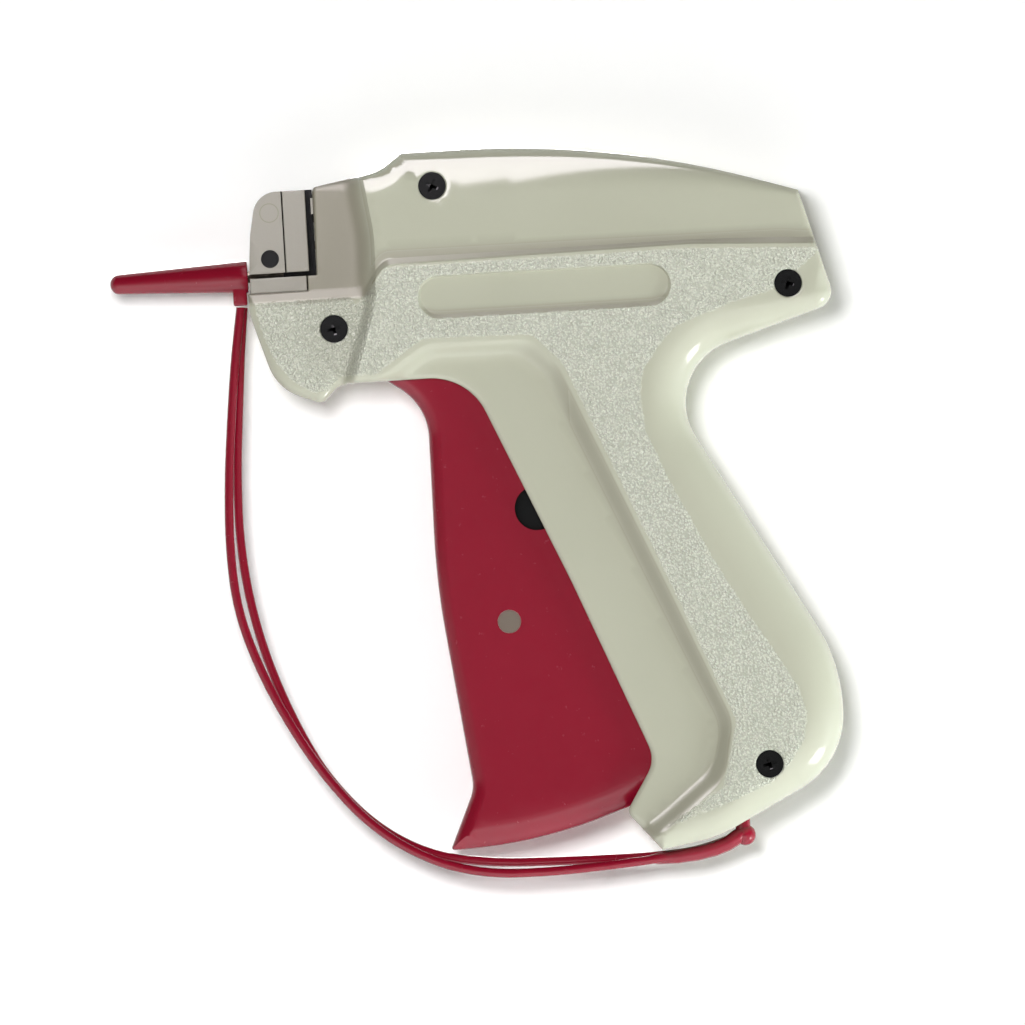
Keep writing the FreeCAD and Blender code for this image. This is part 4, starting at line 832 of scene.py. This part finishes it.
# ------------------------------------------------------------------ screws
# Four black self-tapping screws with dished, cross-recessed heads hold the two
# shells together. Each sits deep in its own round sink on the left side.
def screw_tree():
    """Tree that sets one screw on each point, head towards the left, its recess turned by chance."""
    made = bpy.data.node_groups.new("screws", "GeometryNodeTree")
    inputs = [("Screw places", "NodeSocketGeometry")]
    inputs += [(label, "NodeSocketFloat") for label in (
        "Head radius", "Head height", "Shank radius", "Shank length", "Dish radius", "Dish depth",
        "Recess length", "Recess width", "Recess depth")]
    inputs += [("Screw material", "NodeSocketMaterial")]
    for label, kind in inputs:
        made.interface.new_socket(label, in_out="INPUT", socket_type=kind)
    made.interface.new_socket("Screws", in_out="OUTPUT", socket_type="NodeSocketGeometry")
    given = add_node(made, "NodeGroupInput").outputs
    head_mesh = add_node(made, "GeometryNodeMeshCylinder",
                         {"Radius": given["Head radius"], "Depth": given["Head height"]}, Vertices=48)
    # A ball sinks into the top of the head for its dish.
    half = add_node(made, "ShaderNodeMath", {0: given["Head height"]}, operation="MULTIPLY", _1=0.5)
    dish_up = add_node(made, "ShaderNodeMath", {0: half.outputs[0], 1: given["Dish radius"]},
                       operation="ADD")
    dish_at = add_node(made, "ShaderNodeMath", {0: dish_up.outputs[0], 1: given["Dish depth"]},
                       operation="SUBTRACT")
    dish_place = add_node(made, "ShaderNodeCombineXYZ", {"Z": dish_at.outputs[0]})
    ball = add_node(made, "GeometryNodeMeshUVSphere", {"Radius": given["Dish radius"]},
                    Segments=48, Rings=40)
    dish = add_node(made, "GeometryNodeTransform", {"Geometry": ball.outputs["Mesh"],
                                                    "Translation": dish_place.outputs["Vector"]})
    # Two crossed bars, half their height above the head, cut the recess.
    bar_place = add_node(made, "ShaderNodeCombineXYZ", {"Z": half.outputs[0]})
    double = add_node(made, "ShaderNodeMath", {0: given["Recess depth"]},
                      operation="MULTIPLY", _1=2.0)
    tools = [dish]
    for x, y in (("Recess length", "Recess width"), ("Recess width", "Recess length")):
        size = add_node(made, "ShaderNodeCombineXYZ",
                        {"X": given[x], "Y": given[y], "Z": double.outputs[0]})
        bar = add_node(made, "GeometryNodeMeshCube", {"Size": size.outputs["Vector"]})
        tools.append(add_node(made, "GeometryNodeTransform",
                              {"Geometry": bar.outputs["Mesh"],
                               "Translation": bar_place.outputs["Vector"]}))
    cut = add_node(made, "GeometryNodeMeshBoolean", {"Mesh 1": head_mesh.outputs["Mesh"]},
                   operation="DIFFERENCE")
    for tool in tools:
        made.links.new(tool.outputs["Geometry"], cut.inputs["Mesh 2"])
    # The shank hangs under the head.
    shank_mesh = add_node(made, "GeometryNodeMeshCylinder",
                          {"Radius": given["Shank radius"], "Depth": given["Shank length"]},
                          Vertices=24)
    reach = add_node(made, "ShaderNodeMath", {0: given["Shank length"], 1: given["Head height"]},
                     operation="ADD")
    down = add_node(made, "ShaderNodeMath", {0: reach.outputs[0]}, operation="MULTIPLY", _1=-0.5)
    shank_place = add_node(made, "ShaderNodeCombineXYZ", {"Z": down.outputs[0]})
    shank = add_node(made, "GeometryNodeTransform", {"Geometry": shank_mesh.outputs["Mesh"],
                                                     "Translation": shank_place.outputs["Vector"]})
    whole = add_node(made, "GeometryNodeJoinGeometry")
    for part in (cut.outputs["Mesh"], shank.outputs["Geometry"]):
        made.links.new(part, whole.inputs["Geometry"])
    # Each screw stopped where it was tight, so its recess is turned its own way.
    chance = add_node(made, "FunctionNodeRandomValue", data_type="FLOAT", Min=0.0, Max=1.5, Seed=4)
    spin = add_node(made, "ShaderNodeCombineXYZ", {"Z": chance.outputs[1]})
    lying = add_node(made, "FunctionNodeRotateEuler", {"Rotation": spin.outputs["Vector"]},
                     _1=(math.radians(90.0), 0.0, 0.0))
    placed = add_node(made, "GeometryNodeInstanceOnPoints",
                      {"Points": given["Screw places"], "Instance": whole.outputs["Geometry"],
                       "Rotation": lying.outputs[0]})
    real = add_node(made, "GeometryNodeRealizeInstances", {"Geometry": placed.outputs["Instances"]})
    painted = add_node(made, "GeometryNodeSetMaterial", {"Geometry": real.outputs["Geometry"],
                                                         "Material": given["Screw material"]})
    add_node(made, "NodeGroupOutput", {"Screws": painted.outputs["Geometry"]})
    return made


head_height, head_sunk = 1.9, 1.0
places = bpy.data.meshes.new("screw_places")
places.from_pydata([(x * MM, (-level + head_sunk + head_height / 2) * MM, z * MM)
                    for x, z, level in screw_places.values()], [], [])
carrier = bpy.data.objects.new("screw_places", places)
bpy.context.scene.collection.objects.link(carrier)
maker = carrier.modifiers.new("screws", "NODES")
maker.node_group = screw_tree()
screw_sizes = {"Head radius": 2.74 * MM, "Head height": head_height * MM, "Shank radius": 1.4 * MM,
               "Shank length": 8.0 * MM, "Dish radius": 2.6 * MM, "Dish depth": 0.42 * MM,
               "Recess length": 2.7 * MM, "Recess width": 0.62 * MM, "Recess depth": 1.1 * MM,
               "Screw material": black}
for item in maker.node_group.interface.items_tree:
    if item.name in screw_sizes:
        maker[item.identifier] = screw_sizes[item.name]
bpy.context.view_layer.update()
seen_by = bpy.context.evaluated_depsgraph_get()
screw_mesh = bpy.data.meshes.new_from_object(carrier.evaluated_get(seen_by))
screw_mesh.name = "screws"
screws = bpy.data.objects.new("screws", screw_mesh)
bpy.context.scene.collection.objects.link(screws)
bpy.data.objects.remove(carrier)
screw_mesh.shade_smooth()
screw_mesh.set_sharp_from_angle(angle=math.radians(30.0))
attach(screws, "housing")
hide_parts("housing_screws")


# ------------------------------------------------------------------ trigger
# Long hollow crimson trigger with a kicked-out toe. It turns on a steel pin
# under the barrel, and an arc slot lets it pass round the lever's boss.
trigger_axis = (-44.25, 47.71)
trigger_reach = 102.6


def about(radius, degrees):
    """Point at a radius and an angle from the trigger's pin."""
    a = math.radians(degrees)
    return trigger_axis[0] + radius * math.cos(a), trigger_axis[1] + radius * math.sin(a)


def arc(centre, radius, start, end, steps):
    """Points on an arc between two angles in degrees, both ends included."""
    angles = [math.radians(start + (end - start) * k / steps) for k in range(steps + 1)]
    return [(centre[0] + radius * math.cos(a), centre[1] + radius * math.sin(a)) for a in angles]


spread = 12.0
sole = about(trigger_reach / math.cos(math.radians(spread)), -90.0 + spread)
heel_point = about(trigger_reach, -90.0 + 2 * spread)
trigger_loop = path_of([
    (-53.7, 44.5, 2.0, 0.5, 0.5), (-53.7, 39.86, 0, 2.0, 2.0), (-44.65, 33.6, 12.0, 2.6, 2.4),
    (-44.9, -2.0, 150.0, 2.6, 2.4), (-39.85, -43.4, 7.0, 2.8, 2.6),
    (-45.2, -trigger_reach + trigger_axis[1] - 0.6, 0.5, 3.0, 2.6),
    (*sole, trigger_reach * 0.96, 5.0, 3.4), (*heel_point, 1.5, 3.0, 2.0),
    (0.4, -37.5, 4.0, 0.5, 0.5), (-11.5, -4.0, 14.0, 0.5, 0.5), (-6.9, 14.5, 6.0, 0.5, 0.5),
    (-8.6, 27.0, 6.0, 0.5, 0.5), (-37.0, 51.5, 3.0, 0.5, 0.5)])
trigger_hollow = plain(
    [(-51.3, 42.0), (-49.0, 40.5), (-42.3, 33.0), (-42.6, -2.0), (-37.4, -44.0), (-41.6, -52.8),
     (sole[0], sole[1] + 2.3), (8.0, -44.0), (12.0, -20.0), (2.0, 12.0), (0.0, 32.0), (-36.0, 49.2)],
    [1.0, 1.0, 10.0, 120.0, 6.0, 0.5, trigger_reach * 0.94, 0, 0, 0, 0, 1.0])
trigger_half, trigger_inner = 8.0, 5.7
# The slot runs at slot_swing from the pin, between two angles, with round ends.
slot_radius, slot_swing = 4.45, 41.2
slot_low, slot_high = -60.5, -40.1
slot_hole = np.array(
    arc(about(slot_swing, slot_low), slot_radius, slot_low - 180.0, slot_low, 16)
    + arc(trigger_axis, slot_swing + slot_radius, slot_low, slot_high, 12)[1:-1]
    + arc(about(slot_swing, slot_high), slot_radius, slot_high, slot_high + 180.0, 16)
    + arc(trigger_axis, slot_swing - slot_radius, slot_high, slot_low, 12)[1:-1])
link_pin_hole = circle((-30.8, -10.5), 2.33)
pivot_hole = circle(trigger_axis, 2.56)
trigger_holes = [slot_hole, link_pin_hole, pivot_hole]


def trigger_level(points):
    """Level of the trigger's outer skin."""
    return trigger_half - rim_drop(*depth_and_rounds(points, trigger_loop))


verts, faces = [], []
for side in (-1.0, 1.0):
    shell = Shell(side)
    points, skin = filled([trigger_loop], trigger_holes, rim_rows(trigger_loop), 2.0)
    shell.add(points, trigger_level(points), skin)
    ring = trigger_loop[:, :2]
    open_back = depth_in(ring, trigger_hollow) > 0
    shell.wall(ring, trigger_level(ring), np.where(open_back, trigger_inner, 0.0))
    points, skin = filled([trigger_loop, trigger_hollow], trigger_holes, trigger_hollow[:, :2], 4.0)
    shell.add(points, np.full(len(points), trigger_inner), skin)
    wall = trigger_hollow[depth_in(trigger_hollow, trigger_loop) > 0][:, :2]
    shell.wall(wall, np.full(len(wall), trigger_inner), np.zeros(len(wall)), closed=False)
    for hole in trigger_holes:
        shell.wall(hole, trigger_level(hole), np.full(len(hole), trigger_inner))
    joined(verts, faces, shell.verts, shell.faces)
trigger_piece = finished("trigger_moulding", verts, faces, crimson, "trigger",
                         ["trigger"], 38.0)


# ------------------------------------------------------------------ studio
# White paper board close behind the gun, which is white from the front only, and
# a pale floor far below. A small lamp far in front lights the gun evenly, two
# panels show only in its gloss, and two weak lamps stand at its rear and behind it.
def sheet_of(name, corners, material):
    """Flat sheet from four corners in millimetres."""
    mesh = bpy.data.meshes.new(name)
    mesh.from_pydata([tuple(c * MM for c in corner) for corner in corners], [], [(0, 1, 2, 3)])
    mesh.materials.append(material)
    made = bpy.data.objects.new(name, mesh)
    bpy.context.scene.collection.objects.link(made)
    return made


def white_paper(name, lift_to, one_sided):
    """Diffuse white, lifted towards white for camera, glossy and transmission rays."""
    made, tree = new_material(name)
    paper = add_node(tree, "ShaderNodeBsdfDiffuse", Color=(1.0, 1.0, 1.0, 1.0))
    ray = add_node(tree, "ShaderNodeLightPath")
    seen = add_node(tree, "ShaderNodeMath",
                    {0: ray.outputs["Is Camera Ray"], 1: ray.outputs["Is Glossy Ray"]},
                    operation="MAXIMUM")
    any_ray = add_node(tree, "ShaderNodeMath",
                       {0: seen.outputs["Value"], 1: ray.outputs["Is Transmission Ray"]},
                       operation="MAXIMUM")
    faint = add_node(tree, "ShaderNodeMath", {0: any_ray.outputs["Value"]},
                     operation="MULTIPLY", _1=lift_to)
    glow = add_node(tree, "ShaderNodeEmission", {"Strength": faint.outputs["Value"]})
    both = add_node(tree, "ShaderNodeAddShader",
                    {0: paper.outputs["BSDF"], 1: glow.outputs["Emission"]})
    surface = both.outputs["Shader"]
    if one_sided:
        side = add_node(tree, "ShaderNodeNewGeometry")
        clear = add_node(tree, "ShaderNodeBsdfTransparent")
        mixed = add_node(tree, "ShaderNodeMixShader", {0: side.outputs["Backfacing"], 1: surface,
                                                       2: clear.outputs["BSDF"]})
        surface = mixed.outputs["Shader"]
    add_node(tree, "ShaderNodeOutputMaterial", {"Surface": surface})
    return made


board_y, board_side, board_low, board_high = 14.2, 900.0, -400.0, 900.0
board = sheet_of("backdrop", [(-board_side, board_y, board_low), (board_side, board_y, board_low),
                              (board_side, board_y, board_high), (-board_side, board_y, board_high)],
                 white_paper("white paper board", 0.04, True))
far, floor_z = 14000.0, -600.0
sheet_of("floor", [(-far, -far, floor_z), (far, -far, floor_z), (far, far, floor_z),
                   (-far, far, floor_z)], white_paper("pale floor", 0.8, False))


def lamp(name, place, aim, size, power, colour=(1.0, 1.0, 1.0), roll=0.0):
    """Rectangular lamp at a place, aimed at a point and rolled about its aim."""
    light = bpy.data.lights.new(name, "AREA")
    light.shape = "RECTANGLE"
    light.size, light.size_y = size[0] * MM, size[1] * MM
    light.energy = power
    light.color = colour
    made = bpy.data.objects.new(name, light)
    bpy.context.scene.collection.objects.link(made)
    toward = (Vector(aim) - Vector(place)).to_track_quat("-Z", "Y")
    made.matrix_world = (Matrix.Translation(Vector(place) * MM) @ toward.to_matrix().to_4x4()
                         @ Matrix.Rotation(math.radians(roll), 4, "Z"))
    return made


def leave_out(light, things, shadow_only=False):
    """The lamp doesn't light these, or isn't held back by them."""
    group = bpy.data.collections.new(light.name + "_leaves_out")
    for thing in things:
        group.objects.link(thing)
    if shadow_only:
        light.light_linking.blocker_collection = group
    else:
        light.light_linking.receiver_collection = group
    for linked in group.collection_objects:
        linked.light_linking.link_state = "EXCLUDE"


middle = (0.0, 0.0, 0.0)
key = lamp("key", place=(-200.0, -1800.0, 240.0), aim=(-20.0, 0.0, 10.0), size=(330.0, 330.0),
           power=24.5)
key.visible_glossy = False
# A tall panel over the front gives the barrel's top its long highlight.
window = lamp("window_over_front", place=(-89.3, -199.4, 230.3), aim=(-89.3, -72.8, 75.6),
              size=(170.0, 370.0), power=2.4, colour=(0.98, 0.92, 0.98), roll=-20.0)
window.visible_diffuse = False
leave_out(window, [cap, tab, knob, trigger_piece] + strands)
# A low panel at the rear gives the grip's rounded edges their highlights.
side_window = lamp("window_low_right", place=(370.0, -120.0, -310.0), aim=middle,
                   size=(200.0, 110.0), power=0.75)
side_window.visible_diffuse = False
bounce = lamp("bounce", place=(430.0, -25.0, -200.0), aim=middle, size=(400.0, 300.0), power=5.5,
              colour=(0.90, 0.97, 1.0))
bounce.visible_glossy = False
leave_out(bounce, [board])
behind = lamp("behind", place=(-150.0, 900.0, 300.0), aim=middle, size=(400.0, 400.0), power=5.5)
leave_out(behind, [board], shadow_only=True)
# The surroundings are dim and warm above, brighter and cooler below, and pale to the camera.
world = bpy.data.worlds.new("studio")
bpy.context.scene.world = world
world.use_nodes = True
tree = world.node_tree
tree.nodes.clear()
facing = add_node(tree, "ShaderNodeTexCoord")
height = add_node(tree, "ShaderNodeSeparateXYZ", {"Vector": facing.outputs["Generated"]})
band = add_node(tree, "ShaderNodeMapRange", {"Value": height.outputs["Z"]},
                _1=-0.6, _2=0.6, _3=0.0, _4=1.0)
air = add_node(tree, "ShaderNodeMix", {"Factor": band.outputs["Result"]}, data_type="RGBA",
               _6=(0.216, 0.24, 0.232, 1.0), _7=(0.056, 0.053, 0.048, 1.0))
ray = add_node(tree, "ShaderNodeLightPath")
shown = add_node(tree, "ShaderNodeMix", {"Factor": ray.outputs["Is Camera Ray"], 6: air.outputs[2]},
                 data_type="RGBA", _7=(0.87, 0.87, 0.86, 1.0))
sky = add_node(tree, "ShaderNodeBackground", {"Color": shown.outputs[2]}, Strength=1.0)
add_node(tree, "ShaderNodeOutputWorld", {"Surface": sky.outputs["Background"]})
bpy.context.scene.view_settings.view_transform = "Standard"
